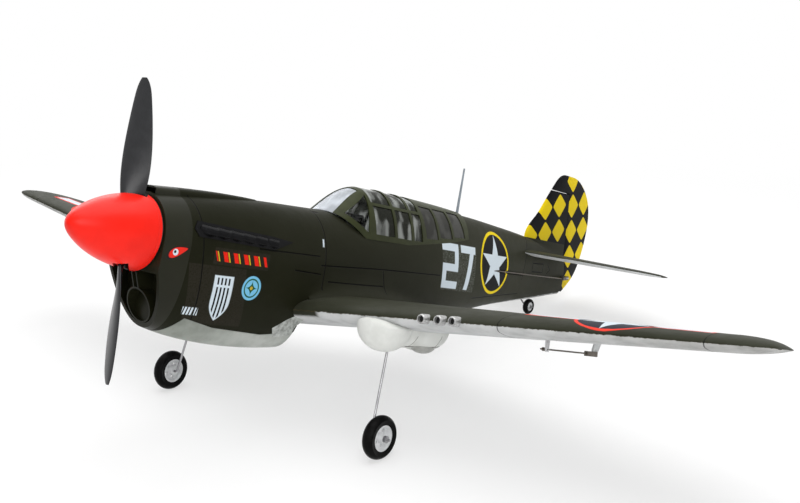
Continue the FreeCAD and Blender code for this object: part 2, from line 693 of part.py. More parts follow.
SCOOP_SETBACK = 2.8          # the scoop's lip behind the cowl's front edge
scoop_front = COWL_FRONT + SCOOP_SETBACK
SCOOP = [(scoop_front, 12.0, 41.8), (COWL_REAR, 12.5, 43.6), (150.0, 11.5, 46.0),
         (204.0, 8.0, 46.4)]
scoop_form = Part.makeLoft([oval(y, w, top, 22.0, 32.0, 0.0, 4.5) for y, w, top in SCOOP],
                           True, False)
DECK_FRONT = 426.0
DECK_INSET = 2.8
deck = canopy_form(DECK_INSET).common(canopy_zone()).common(
    box(-60, 60, DECK_FRONT, CANOPY_REAR, 0, 100))

fuselage = body_tail.cut(nose_zone).cut(canopy_zone()).fuse(scoop_form.cut(nose_zone))
root_fairing = root_fairing_form()
fuselage = fuselage.fuse(root_fairing).fuse(mirrored(root_fairing))
fuselage = fuselage.fuse(deck).cut(hatch_zone(0.0))
fuselage = fuselage.cut(wing_saddle).cut(wing_whole).cut(stabilizer).cut(joiner_bore)
fuselage = fuselage.cut(horn_notch(RUDDER_REACH, rudder_place))

MOTOR_PLATE = 3.0
MOTOR_PLATE_RADIUS = 24.0
motor_front = COWL_REAR + MOTOR_PLATE
motor_rear = motor_front + MOTOR_LENGTH
BAY_MARGIN = 4.0
bay_half = BATTERY.x / 2 + BAY_MARGIN
bay_front, bay_rear = 128.0, 252.0
WELL_FRONT, WELL_REAR, WELL_HALF, WELL_FLOOR = 316.0, 424.0, 24.0, -4.0
RADIO_FRONT, RADIO_REAR, RADIO_HALF, RADIO_TOP = 330.0, 410.0, 16.0, -12.0
pockets = [
    box(-bay_half, bay_half, bay_front, bay_rear, -100, BAY_TOP),
    box(-WELL_HALF, WELL_HALF, WELL_FRONT, WELL_REAR, WELL_FLOOR, 60),
    box(-RADIO_HALF, RADIO_HALF, RADIO_FRONT, RADIO_REAR, -60, RADIO_TOP),
    rod(Vector(0, COWL_REAR, 0), Vector(0, motor_front, 0), MOTOR_PLATE_RADIUS),
    rod(Vector(0, motor_front, 0), Vector(0, motor_rear + 14, 0), MOTOR_RADIUS + 1.5),
    box(-8, 8, motor_rear + 2, motor_rear + 14, BAY_TOP - 1, 0),
]
# servo wells, the room their arms sweep, and the tunnels of the two tail rods
rudder_servo_well = placed(box(-60, RUDDER_SHIFT - 3.1, -6, SERVO_SIZE.y - 6,
                               -SERVO_SIZE.z / 2, SERVO_SIZE.z / 2), rudder_arm_place)
rudder_arm_room = placed(box(RUDDER_SHIFT - 3.2, 3.0, -9, 9, -RUDDER_REACH - 2.8, 5.0),
                         rudder_arm_place)
elevator_servo_well = placed(box(ELEVATOR_SHIFT + 3.1, ELEVATOR_SHIFT + 3.1 + SERVO_SIZE.x,
                                 -6, SERVO_SIZE.y - 6, -70, SERVO_SIZE.z / 2),
                             elevator_arm_place)
elevator_arm_room = placed(box(-2.4, ELEVATOR_SHIFT + 3.2, -9, 9, -ELEVATOR_REACH - 3.0, 4.5),
                           elevator_arm_place)
swing_slack = Vector(0, 0, 0.4)      # a rod comes nearer to its hinge line as it swings
rudder_tunnel = placed(tunnel(RUDDER_REACH, rudder_run, 0.27, swing_slack), rudder_place)
elevator_tunnel = placed(tunnel(ELEVATOR_REACH, elevator_run_world, 0.27, swing_slack),
                         elevator_place)
pockets += [rudder_servo_well, rudder_arm_room, elevator_servo_well, elevator_arm_room,
            rudder_tunnel, elevator_tunnel]
for pocket in pockets:
    fuselage = fuselage.cut(pocket)

# -- nose cowl with the three-duct chin intake -----------------------------------------
DUCT_WALL = 3.4
DUCT_BACK = 99.0
DUCT_TOP = -32.0
CENTRE_DUCT = Vector(0, 0, -63.0)
CENTRE_DUCT_RADIUS = 14.0
VANE = 1.4
nose_form = body.common(box(-70, 70, COWL_FRONT, COWL_REAR, -130, 80)).fuse(
    scoop_form.common(nose_zone))
chin_cut = side_prism([(60.0, CHIN_LIP_TOP), (COWL_FRONT, CHIN_LIP_TOP),
                       (COWL_FRONT + CHIN_RAKE, -86.0), (COWL_FRONT + CHIN_RAKE, -130.0),
                       (60.0, -130.0)], -70, 70)
mouth = fuselage_form(DUCT_WALL).common(box(-70, 70, 60, DUCT_BACK, -130, DUCT_TOP))
ring = rod(Vector(0, 60, CENTRE_DUCT.z), Vector(0, DUCT_BACK, CENTRE_DUCT.z),
           CENTRE_DUCT_RADIUS + VANE)
ring = ring.cut(rod(Vector(0, 60, CENTRE_DUCT.z), Vector(0, DUCT_BACK, CENTRE_DUCT.z),
                    CENTRE_DUCT_RADIUS))
vane_bottom = CENTRE_DUCT.z + CENTRE_DUCT_RADIUS
vanes = [box(x - VANE / 2, x + VANE / 2, 60, DUCT_BACK, vane_bottom, DUCT_TOP)
         for x in (-3.0, 3.0)]
mouth = mouth.cut(ring).cut(vanes[0]).cut(vanes[1])
upper_room = fuselage_form(COWL_WALL).common(
    box(-70, 70, COWL_FRONT + COWL_WALL, COWL_REAR, DUCT_TOP + COWL_WALL, 80))
scoop_mouth = scoop_form.common(box(-9.8, 9.8, scoop_front - 8, scoop_front + 12, 34.5, 40.3))
cowl = nose_form.cut(chin_cut).cut(mouth).cut(upper_room).cut(scoop_mouth)
cowl = cowl.cut(rod(Vector(0, 60, 0), Vector(0, 110, 0), SHAFT_RADIUS + 4.0))
nodes["nose_cowl"] = solid_of(cowl)

# -- battery hatch and battery ---------------------------------------------------------
hatch = body.common(hatch_zone(-CLEARANCE)).cut(nose_zone.copy())
nodes["battery_hatch"] = solid_of(hatch.cut(wing_whole))
battery_front = bay_front + 6.0
battery = box(-BATTERY.x / 2, BATTERY.x / 2, battery_front, battery_front + BATTERY.y,
              BAY_TOP - BATTERY.z, BAY_TOP)
STRAP = 1.0
strap_front = battery_front + 40.0
strap = box(-BATTERY.x / 2 - STRAP, BATTERY.x / 2 + STRAP, strap_front, strap_front + 20,
            BAY_TOP - BATTERY.z - STRAP, BAY_TOP).cut(battery)
nodes["battery"] = battery
nodes["battery_strap"] = strap

# -- motor, radio ----------------------------------------------------------------------
motor = rod(Vector(0, motor_front, 0), Vector(0, motor_rear, 0), MOTOR_RADIUS)
motor = motor.makeFillet(1.5, [e for e in motor.Edges if abs(e.Length - 2 * math.pi
                                                            * MOTOR_RADIUS) < 0.1])
shaft_end = motor_rear - 4.0
shaft = rod(Vector(0, PROP_PLANE - 14.0, 0), Vector(0, shaft_end, 0), SHAFT_RADIUS)
shaft_bore = rod(Vector(0, 60, 0), Vector(0, shaft_end + 1.0, 0), SHAFT_RADIUS + RUNNING_FIT)
plate = rod(Vector(0, COWL_REAR, 0), Vector(0, motor_front, 0), MOTOR_PLATE_RADIUS)
nodes["motor"] = motor.cut(shaft_bore)
nodes["motor_mount"] = plate.cut(rod(Vector(0, 60, 0), Vector(0, 120, 0), SHAFT_RADIUS + 2.0))
nodes["speed_controller"] = box(-12, 12, RADIO_FRONT + 4, RADIO_FRONT + 44, RADIO_TOP - 9,
                                RADIO_TOP)
nodes["receiver"] = box(-10, 10, RADIO_FRONT + 50, RADIO_FRONT + 76, RADIO_TOP - 12, RADIO_TOP)

# -- propeller and spinner -------------------------------------------------------------
def blade_section(radius, chord, thickness):
    """One blade section: aerofoil turned to the pitch angle, nose leading in the turn."""
    pitch = min(math.atan2(PROP_PITCH, 2 * math.pi * radius), math.radians(58))
    axis_share = 0.42
    points = []
    for c, h in aerofoil(chord, thickness * chord, 0.03, 0.5):
        along = c - axis_share * chord
        points.append(Vector(along * math.cos(pitch) + h * math.sin(pitch),
                             along * math.sin(pitch) - h * math.cos(pitch), radius))
    return foil_wire(points)


BLADE = [(6.0, 11.0, 0.62), (20.0, 15.5, 0.34), (36.0, 22.0, 0.19), (60.0, 26.5, 0.13),
         (90.0, 24.0, 0.10), (114.0, 18.0, 0.09), (127.0, 11.5, 0.09), (PROP_RADIUS, 5.0, 0.09)]
blade = Part.makeLoft([blade_section(*station) for station in BLADE], True, False)
blade.translate(Vector(0, PROP_PLANE, 0))
blade.rotate(Vector(0, 0, 0), Vector(0, 1, 0), -PROP_REST_ANGLE)
other = blade.copy()
other.rotate(Vector(0, 0, 0), Vector(0, 1, 0), 180)
hub = rod(Vector(0, PROP_PLANE - PROP_HUB_LENGTH / 2, 0),
          Vector(0, SPINNER_LENGTH - BACKPLATE_THICKNESS + 1.0, 0), PROP_HUB_RADIUS)
propeller = hub.fuse(blade).fuse(other).cut(shaft)
nodes["propeller"] = solid_of(propeller)
nodes["prop_shaft"] = shaft


def spinner_form(inset):
    """The spinner's outer form, or its inside when drawn in by the wall."""
    profile = [(0.0, 0.0), (2.5, 5.6), (12.0, 14.4), (28.0, 23.4), (50.0, 30.6),
               (SPINNER_LENGTH, SPINNER_RADIUS)]
    points = [Vector(0, y + inset * 1.3, max(r - inset, 0.0)) for y, r in profile]
    points[-1].y = SPINNER_LENGTH
    curve = Part.BSplineCurve()
    curve.interpolate(Points=points)
    edge = curve.toShape()
    back = Part.makeLine(points[-1], Vector(0, SPINNER_LENGTH, 0))
    axis = Part.makeLine(Vector(0, SPINNER_LENGTH, 0), points[0])
    face = Part.Face(Part.Wire([edge, back, axis]))
    return face.revolve(Vector(0, 0, 0), Vector(0, 1, 0), 360)


slot = Part.makeBox(30, 13, 40, Vector(-15, -6.5, 22))
slot.rotate(Vector(0, 0, 0), Vector(0, 0, 1), 44)
slot.translate(Vector(0, PROP_PLANE, 0))
slot.rotate(Vector(0, 0, 0), Vector(0, 1, 0), -PROP_REST_ANGLE)
second_slot = slot.copy()
second_slot.rotate(Vector(0, 0, 0), Vector(0, 1, 0), 180)
spinner = spinner_form(0.0).cut(spinner_form(SPINNER_WALL)).cut(slot).cut(second_slot)
lip = BACKPLATE_THICKNESS - 1.0
backplate = rod(Vector(0, SPINNER_LENGTH, 0), Vector(0, SPINNER_LENGTH + 1.0, 0),
                SPINNER_RADIUS)
backplate = backplate.fuse(rod(Vector(0, SPINNER_LENGTH - lip, 0), Vector(0, SPINNER_LENGTH, 0),
                               SPINNER_RADIUS - SPINNER_WALL)).cut(shaft).cut(hub)
nodes["spinner"] = solid_of(spinner.cut(backplate))
nodes["spinner_backplate"] = backplate
nut_front = PROP_PLANE - PROP_HUB_LENGTH / 2 - 6.0
nut_points = [Vector(4.6 * math.cos(math.radians(60 * k)), nut_front,
                     4.6 * math.sin(math.radians(60 * k))) for k in range(7)]
nut = Part.Face(Part.makePolygon(nut_points)).extrude(Vector(0, 6, 0))
nodes["prop_nut"] = nut.cut(shaft)

# -- canopy and cockpit ----------------------------------------------------------------
shell_outer = canopy_form()
shell_middle = canopy_form(CANOPY_FRAME)
pane_outer = canopy_form(CANOPY_FRAME + SEAT_GAP)
pane_inner = canopy_form(CANOPY_FRAME + SEAT_GAP + CANOPY_GLAZING)
zone = canopy_zone()
frame = shell_outer.cut(shell_middle).common(zone)
glazing = pane_outer.cut(pane_inner).common(zone)
HOOPS = [348.0, 384.0, 414.0, 434.0, 462.0, 492.0, 520.0]
HOOP_WIDTH = 4.4
RAIL_LOW, RAIL_HIGH = 63.0, 66.0
REAR_PANE_TOP, QUARTER_TOP = 73.0, 73.0
SILL_BAND = 5.5
windows = []
for index, (front, rear) in enumerate(zip(HOOPS, HOOPS[1:])):
    y0, y1 = front + HOOP_WIDTH / 2, rear - HOOP_WIDTH / 2
    sill = 29.0 + SILL_BAND + max(0.0, (y0 - 414.0)) * 0.12
    lean = 3.0
    if index < 3:
        windows.append(side_prism([(y0 + lean, sill), (y1 + lean, sill), (y1, RAIL_LOW),
                                   (y0, RAIL_LOW)], -60, 60))
        windows.append(side_prism([(y0 - 1, RAIL_HIGH), (y1 - 1, RAIL_HIGH), (y1 - 2, 90),
                                   (y0 - 2, 90)], -60, 60))
    else:
        windows.append(side_prism([(y0 + 2 * lean, sill + 2), (y1 + 2 * lean, sill + 3),
                                   (y1, REAR_PANE_TOP - 0.5), (y0, REAR_PANE_TOP)], -60, 60))
quarter = side_prism([(CANOPY_FRONT + 17.0, 50.0), (HOOPS[0] - 6.5, 34.5),
                      (HOOPS[0] - 3.0, QUARTER_TOP)], -60, 60)
screen_foot, screen_head = CANOPY_FRONT + 7.0, HOOPS[0] - 7.0
screen_pane = plan_prism([(-15, screen_foot), (15, screen_foot), (11, screen_head),
                          (-11, screen_head)], 40, 95)
quarter = quarter.cut(box(-17, 17, CANOPY_FRONT - 6.0, HOOPS[0] + 2.0, 0, 95))
windows += [quarter, screen_pane]
for window in windows:
    frame = frame.cut(window)
nodes["canopy_frame"] = solid_of(frame)
nodes["canopy_glazing"] = glazing

TRAY = 1.2
tray = box(-WELL_HALF, WELL_HALF, WELL_FRONT, WELL_REAR, WELL_FLOOR, 26.0).cut(
    box(-WELL_HALF + TRAY, WELL_HALF - TRAY, WELL_FRONT + TRAY, WELL_REAR - TRAY,
        WELL_FLOOR + TRAY, 60))
tray = tray.cut(canopy_zone())
hood = canopy_form(7.0).common(side_prism([(WELL_FRONT + TRAY, 10.0), (WELL_FRONT + TRAY, 51.0),
                                           (343.0, 51.0), (349.0, 40.0), (339.0, 10.0)],
                                          -WELL_HALF + TRAY, WELL_HALF - TRAY))
nodes["cockpit_tray"] = tray
nodes["instrument_hood"] = solid_of(hood)
seat = side_prism([(366.0, 6.0), (400.0, 3.0), (408.0, 52.0), (403.0, 53.0), (395.0, 9.0),
                   (366.0, 12.0)], -13, 13)
post = box(-4, 4, 376, 390, WELL_FLOOR + TRAY, 7.0)
nodes["pilot_seat"] = seat.fuse(post)

# -- exhausts --------------------------------------------------------------------------
STACKS = 6
EXHAUST_FRONT, EXHAUST_REAR = 110.0, 211.0
strip_zone = side_prism([(106.0, 12.0), (110.0, 19.0), (200.0, 15.5), (228.0, 13.0),
                         (204.0, 3.5), (112.0, 5.5)], 10, 60)
strip = fuselage_form(-0.8).cut(fuselage_form(1.2)).common(strip_zone)
pitch = (EXHAUST_REAR - EXHAUST_FRONT - 8) / STACKS
stacks = []
for k in range(STACKS):
    y = EXHAUST_FRONT + 5 + pitch * k
    z = 12.0 - 0.03 * (y - EXHAUST_FRONT)
    stub = rod(Vector(33.5, y, z + 0.6), Vector(42.6, y + 13.0, z - 0.6), 4.3, 3.7)
    stub = stub.cut(rod(Vector(39.5, y + 8.6, z - 0.2), Vector(43.1, y + 13.7, z - 0.65), 2.5))
    stacks.append(stub)
exhaust = strip
for stub in stacks:
    exhaust = exhaust.fuse(stub)
nodes["exhaust_left"] = solid_of(exhaust)
nodes["exhaust_right"] = mirrored(nodes["exhaust_left"])
fuselage = fuselage.cut(exhaust).cut(mirrored(exhaust))

# -- mast, guns, screws ----------------------------------------------------------------
mast = rod(Vector(0, 538.5, 66.0), Vector(0, 537.0, 128.0), 1.8, 1.0)
nodes["antenna_mast"] = mast
fuselage = fuselage.cut(mast)
GUN_STATIONS = (186.0, 203.0, 217.5)
guns = []
for x in GUN_STATIONS:
    front, chord, z = wing_chord(x)
    for side in (1, -1):
        start = Vector(side * x, front - 9.0, z + 0.6)
        tube = rod(start, start + Vector(0, 18.0, 0), 1.9)
        guns.append(tube.cut(rod(start, start + Vector(0, 4.0, 0), 1.1)))
nodes["gun_barrels"] = Part.Compound(guns)
SCREW_X, SCREW_Y = 12.0, 468.0
screws = []
for side in (1, -1):
    foot = Vector(side * SCREW_X, SCREW_Y, -62.0)
    screws.append(rod(foot, foot + Vector(0, 0, 40.0), 2.0).fuse(
        rod(foot, foot + Vector(0, 0, 3.5), 4.0)))
nodes["wing_screws"] = Part.Compound(screws)
for piece in guns + screws:
    wing = wing.cut(piece)
fuselage = fuselage.cut(screws[0]).cut(screws[1])

# -- main gear -------------------------------------------------------------------------
HUB_WIDTH = 12.0
STRUT_BEND = 3.0
CORNER_X = 136.4
STRUT_TOP_Z = -46.0
collar_in = WHEEL_X + HUB_WIDTH / 2 + CLEARANCE
axle_end = collar_in + COLLAR_LENGTH + AXLE_TIP


def bent_wire(points, bend, radius):
    """A round wire through two straight runs with one rounded corner."""
    p0, p1, p2 = points
    u, v = (p0 - p1).normalize(), (p2 - p1).normalize()
    turn = math.pi - u.getAngle(v)
    setback = bend * math.tan(turn / 2)
    a, b = p1 + u * setback, p1 + v * setback
    bisector = (u + v).normalize()
    centre = p1 + bisector * (bend / math.cos(turn / 2))
    middle = centre - bisector * bend
    path = Part.Wire([Part.makeLine(p0, a), Part.Arc(a, middle, b).toShape(),
                      Part.makeLine(b, p2)])
    circle = Part.Wire(Part.makeCircle(radius, p0, p0 - p1))
    return path.makePipeShell([circle], True, True)


strut = bent_wire([Vector(STRUT_TOP_X, STRUT_TOP_Y, STRUT_TOP_Z), Vector(CORNER_X, WHEEL_Y, WHEEL_Z),
                   Vector(axle_end, WHEEL_Y, WHEEL_Z)], STRUT_BEND, AXLE_RADIUS)
collar = rod(Vector(collar_in, WHEEL_Y, WHEEL_Z), Vector(collar_in + COLLAR_LENGTH, WHEEL_Y,
                                                         WHEEL_Z), COLLAR_RADIUS).cut(
    rod(Vector(collar_in - 1, WHEEL_Y, WHEEL_Z), Vector(axle_end, WHEEL_Y, WHEEL_Z),
        AXLE_RADIUS))


def turned(profile, centre):
    """A profile of (X, radius) points turned about the axle through centre."""
    points = [centre + Vector(x, 0, r) for x, r in profile]
    wire = Part.makePolygon(points + points[:1])
    return Part.Face(wire).revolve(centre, Vector(1, 0, 0), 360)


def tyre_form(centre, radius, width, seat):
    """A round-shouldered tyre on its seat."""
    half = width / 2
    shoulder = radius - (radius - seat) * 0.42
    arc_top = Part.Arc(centre + Vector(-half, 0, shoulder), centre + Vector(0, 0, radius),
                       centre + Vector(half, 0, shoulder)).toShape()
    seat_half = half * 0.82
    right = Part.makeLine(centre + Vector(half, 0, shoulder), centre + Vector(seat_half, 0, seat))
    base = Part.makeLine(centre + Vector(seat_half, 0, seat), centre + Vector(-seat_half, 0, seat))
    left = Part.makeLine(centre + Vector(-seat_half, 0, seat), centre + Vector(-half, 0, shoulder))
    face = Part.Face(Part.Wire([arc_top, right, base, left]))
    return face.revolve(centre, Vector(1, 0, 0), 360)


def hub_form(centre, radius, width, bore, holes):
    """A dished wheel hub with a boss and a ring of lightening holes."""
    half = width / 2
    boss = radius * 0.34
    web = 1.4
    profile = [(-half, bore), (half, bore), (half, boss), (web, boss + 0.8),
               (web, radius - 2.6), (half * 0.82, radius - 1.2), (half * 0.82, radius),
               (-half * 0.82, radius), (-half * 0.82, radius - 1.2), (-web, radius - 2.6),
               (-web, boss + 0.8), (-half, boss)]
    form = turned(profile, centre)
    ring_radius = (boss + 0.8 + radius - 2.6) / 2
    for k in range(holes):
        angle = 2 * math.pi * k / holes
        spot = centre + Vector(-half, ring_radius * math.cos(angle), ring_radius * math.sin(angle))
        form = form.cut(rod(spot, spot + Vector(width, 0, 0), radius * 0.15))
    return form


main_centre = Vector(WHEEL_X, WHEEL_Y, WHEEL_Z)
tyre = tyre_form(main_centre, TYRE_RADIUS, TYRE_WIDTH, HUB_RADIUS)
hub_left = hub_form(main_centre, HUB_RADIUS, HUB_WIDTH, AXLE_RADIUS + RUNNING_FIT, 5)

FAIRING_AXIS_Z = -47.0
fairing_profile = [(213.0, 2.0), (215.0, 9.0), (224.0, 17.5), (242.0, 22.0), (268.0, 23.0),
                   (300.0, 20.5), (330.0, 13.5), (350.0, 5.0), (354.0, 2.0)]
points = [Vector(STRUT_TOP_X + 3, y, FAIRING_AXIS_Z + r) for y, r in fairing_profile]
curve = Part.BSplineCurve()
curve.interpolate(Points=points)
axis_front = Vector(points[0].x, points[0].y, FAIRING_AXIS_Z)
axis_rear = Vector(points[0].x, points[-1].y, FAIRING_AXIS_Z)
fairing_face = Part.Face(Part.Wire([curve.toShape(), Part.makeLine(points[-1], axis_rear),
                                    Part.makeLine(axis_rear, axis_front),
                                    Part.makeLine(axis_front, points[0])]))
fairing = fairing_face.revolve(axis_front, Vector(0, 1, 0), 360)
seat_form = wing_left.copy()
seat_form.translate(Vector(0, 0, -SEAT_GAP))
strut_bore = rod(Vector(STRUT_TOP_X, STRUT_TOP_Y, STRUT_TOP_Z),
                 Vector(CORNER_X, WHEEL_Y, WHEEL_Z), AXLE_RADIUS + SEAT_GAP)
above_wing = box(0, 300, 150, 420, FAIRING_AXIS_Z + 6.0, 60)
fairing = solid_of(fairing.cut(seat_form).cut(above_wing).cut(strut_bore))
wing = wing.cut(strut).cut(mirrored(strut))
for side, flip in (("left", lambda s: s), ("right", mirrored)):
    nodes["gear_strut_" + side] = flip(strut)
    nodes["tyre_" + side] = flip(tyre)
    nodes["wheel_hub_" + side] = flip(hub_left)
    nodes["gear_fairing_" + side] = flip(fairing)

# -- tail gear -------------------------------------------------------------------------
TAIL_WIRE = 1.0
TAIL_HUB_WIDTH = 6.4
TAIL_COLLAR = 1.6
TAIL_TIP_RADIUS = 0.75       # turned-down end of the tail axle
TAIL_TIP = 3.0
tail_side = TAIL_WHEEL_WIDTH / 2 + 1.6
tail_collar_in = TAIL_HUB_WIDTH / 2 + CLEARANCE
tail_shoulder = tail_collar_in + TAIL_COLLAR
tail_wire = bent_wire([Vector(-tail_side, 710.0, -9.0),
                       Vector(-tail_side, TAIL_WHEEL_Y, TAIL_WHEEL_Z),
                       Vector(tail_shoulder, TAIL_WHEEL_Y, TAIL_WHEEL_Z)],
                      1.2, TAIL_WIRE)
tail_wire = solid_of(tail_wire.fuse(rod(
    Vector(tail_shoulder - 0.5, TAIL_WHEEL_Y, TAIL_WHEEL_Z),
    Vector(tail_shoulder + TAIL_TIP, TAIL_WHEEL_Y, TAIL_WHEEL_Z), TAIL_TIP_RADIUS)))
tail_centre = Vector(0, TAIL_WHEEL_Y, TAIL_WHEEL_Z)
tail_collar = rod(Vector(tail_collar_in, TAIL_WHEEL_Y, TAIL_WHEEL_Z),
                  Vector(tail_shoulder, TAIL_WHEEL_Y, TAIL_WHEEL_Z), 2.2)
nodes["tail_gear_wire"] = tail_wire
nodes["axle_collars"] = Part.Compound([collar, mirrored(collar), tail_collar.cut(tail_wire)])
nodes["tail_tyre"] = tyre_form(tail_centre, TAIL_WHEEL_RADIUS, TAIL_WHEEL_WIDTH, 5.6)
nodes["tail_wheel_hub"] = hub_form(tail_centre, 5.6, TAIL_HUB_WIDTH, TAIL_WIRE + RUNNING_FIT, 0)
fuselage = fuselage.cut(tail_wire)

nodes["fuselage"] = solid_of(fuselage)
nodes["wing"] = solid_of(wing)
nodes["stabilizer"] = solid_of(stabilizer)

# ---------------------------------------------------------------- stand on the wheels
wheel_base = TAIL_WHEEL_Y - WHEEL_Y
wheel_lift = TAIL_WHEEL_Z - WHEEL_Z
STANCE = math.degrees(math.asin((TYRE_RADIUS - TAIL_WHEEL_RADIUS)
                                / math.hypot(wheel_base, wheel_lift))
                      + math.atan2(wheel_lift, wheel_base))
nose_up = FreeCAD.Rotation(Vector(1, 0, 0), -STANCE)
floor = nose_up.multVec(main_centre).z - TYRE_RADIUS
turned_nodes = {}
for name, shape in nodes.items():
    stood = shape.copy()
    stood.Placement = Placement(Vector(0, 0, -floor), nose_up).multiply(stood.Placement)
    turned_nodes[name] = stood
boxes = [turned_nodes[name].optimalBoundingBox(False) for name in
         ("spinner", "rudder", "wing")]
middle_y = (min(b.YMin for b in boxes) + max(b.YMax for b in boxes)) / 2
stand = Placement(Vector(0, -middle_y, -floor), nose_up)


def stand_point(point):
    """A point of the flying attitude on the standing model, in metres."""
    p = stand.multVec(point)
    return [round(c / 1000, 6) for c in (p.x, p.y, p.z)]


def stand_axis(direction):
    """A direction of the flying attitude on the standing model."""
    d = nose_up.multVec(Vector(direction).normalize())
    return [round(c, 6) for c in (d.x, d.y, d.z)]


for name, shape in turned_nodes.items():
    shape.translate(Vector(0, -middle_y, 0))
    shape.exportStep("parts/" + name + ".step")
print(len(turned_nodes), "pieces; nose up", round(STANCE, 3), "degrees; moved", -middle_y, -floor)
for name, point, axis in (("aileron_left_hinge", link_origin, link_axis),
                          ("elevator_hinge", elevator_link, Vector(1, 0, 0)),
                          ("rudder_hinge", rudder_link, rudder_axis),
                          ("propeller", Vector(0, PROP_PLANE, 0), Vector(0, 1, 0)),
                          ("wheel_left", main_centre, Vector(1, 0, 0)),
                          ("tail_wheel", tail_centre, Vector(1, 0, 0))):
    print(name, "through", stand_point(point), "along", stand_axis(axis))
print("throws in degrees", AILERON_THROW, ELEVATOR_THROW, RUDDER_THROW)
print("the battery hatch drops away by", HATCH_DROP, "mm")
for name, shape in turned_nodes.items():
    if len(shape.Solids) != 1:
        print(name, "is", len(shape.Solids), "solids")
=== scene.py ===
# %% [markdown]
# # Dressing a foam warbird
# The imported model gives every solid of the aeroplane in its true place, standing on its three
# wheels.  This file gives each of them the surface that a finished foam model has: smooth skins,
# painted markings, clear panes and a studio to see them in.  Read it cell by cell: each step says
# what the real part is, how it could be made in Blender, and why it is made this way.
# %% Load the frame
import json
import math
import bmesh
import bpy
import numpy as np
from mathutils import Matrix

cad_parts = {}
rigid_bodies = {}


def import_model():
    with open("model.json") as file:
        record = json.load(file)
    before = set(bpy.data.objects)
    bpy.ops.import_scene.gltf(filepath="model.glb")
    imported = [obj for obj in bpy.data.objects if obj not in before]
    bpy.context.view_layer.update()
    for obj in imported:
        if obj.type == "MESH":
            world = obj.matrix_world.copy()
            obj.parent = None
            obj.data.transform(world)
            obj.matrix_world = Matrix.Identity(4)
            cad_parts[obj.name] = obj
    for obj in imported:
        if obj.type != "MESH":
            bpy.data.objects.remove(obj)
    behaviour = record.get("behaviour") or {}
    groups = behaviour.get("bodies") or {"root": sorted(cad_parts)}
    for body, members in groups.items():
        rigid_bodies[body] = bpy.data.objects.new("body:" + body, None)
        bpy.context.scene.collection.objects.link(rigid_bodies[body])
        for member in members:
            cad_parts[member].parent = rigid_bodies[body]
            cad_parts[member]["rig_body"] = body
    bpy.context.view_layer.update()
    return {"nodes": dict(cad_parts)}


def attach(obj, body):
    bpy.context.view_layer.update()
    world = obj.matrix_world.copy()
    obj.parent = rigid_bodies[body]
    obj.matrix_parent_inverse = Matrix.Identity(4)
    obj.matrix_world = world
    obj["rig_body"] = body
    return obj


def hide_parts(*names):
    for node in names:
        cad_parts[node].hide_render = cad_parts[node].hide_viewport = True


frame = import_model()

# %% [markdown]
# ## Flying attitude
# A tail-dragger rests nose up, so straight lines of the design, such as the propeller shaft, are
# tilted in the room.  It is easier to think in the aeroplane's own axes: X out along the left
# wing, Y aft from the tip of the spinner, Z up, in millimetres.  Turning by the stance angle and
# moving by one fixed step leads from one set of axes to the other, as in the drawing office.
# %% The aeroplane's own axes
STANCE = math.radians(16.558771)
STEP = np.array([0.0, -421.4016, 242.0953])
TURN = np.array([[1, 0, 0],
                 [0, math.cos(STANCE), math.sin(STANCE)],
                 [0, -math.sin(STANCE), math.cos(STANCE)]])


def to_room(points):
    """Millimetres in the aeroplane's axes to metres in the room: turn nose up, then step."""
    return (np.asarray(points, float) @ TURN.T + STEP) / 1000.0


def to_plane(points):
    """Metres in the room to millimetres in the aeroplane's axes: the way back."""
    return (np.asarray(points, float) * 1000.0 - STEP) @ TURN


print("spinner tip in the room", np.round(to_room([0, 0, 0]), 4))

# %% [markdown]
# ## Smooth skins from loose triangles
# The solids arrive as loose triangles, each with its own corners, so every facet would catch the
# light by itself.  Merging the corners and smoothing across all edges that are flatter than a set
# angle gives moulded foam its soft shine, while true corners stay crisp.  A copy is used and the
# original stays in the frame for physics.
# %% Copy, merge and smooth
SKINS = {}
POINTS_PER_METRE = 2e5       # corners closer than 0.005 mm become one


def merged_mesh(name, points, triangles, angle):
    """A mesh whose equal corners are one, smooth but for edges sharper than the angle."""
    _, first, back = np.unique(np.round(points * POINTS_PER_METRE).astype(np.int64), axis=0,
                               return_index=True, return_inverse=True)
    faces = back.reshape(-1)[triangles]
    sound = ((faces[:, 0] != faces[:, 1]) & (faces[:, 1] != faces[:, 2])
             & (faces[:, 2] != faces[:, 0]))
    mesh = bpy.data.meshes.new(name)
    mesh.from_pydata(points[first], [], faces[sound])
    mesh.validate()
    mesh.polygons.foreach_set("use_smooth", np.ones(len(mesh.polygons), bool))
    mesh.set_sharp_from_angle(angle=math.radians(angle))
    return mesh


def stand_in(name, mesh, body, nodes=()):
    """An object with that mesh, carried by a body, in the place of the named solids."""
    obj = bpy.data.objects.new(name, mesh)
    bpy.context.scene.collection.objects.link(obj)
    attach(obj, body)
    if nodes:
        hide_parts(*nodes)
    return obj


def skin(node, angle=32.0):
    """A merged, smooth-shaded copy of a solid that takes its place in the picture."""
    source = frame["nodes"][node]
    place = np.empty(len(source.data.vertices) * 3, np.float32)
    source.data.vertices.foreach_get("co", place)
    corners = np.empty(len(source.data.loops), np.int32)
    source.data.loops.foreach_get("vertex_index", corners)
    mesh = merged_mesh(node + "_skin", place.reshape(-1, 3), corners.reshape(-1, 3), angle)
    SKINS[node] = stand_in(node + "_skin", mesh, source["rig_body"], [node])


DRAWN_LATER = {"gear_fairing_left", "gear_fairing_right", "gun_barrels"}
for node_name in sorted(set(frame["nodes"]) - DRAWN_LATER):
    skin(node_name)
print("skins", len(SKINS), "triangles", sum(len(o.data.polygons) for o in SKINS.values()))

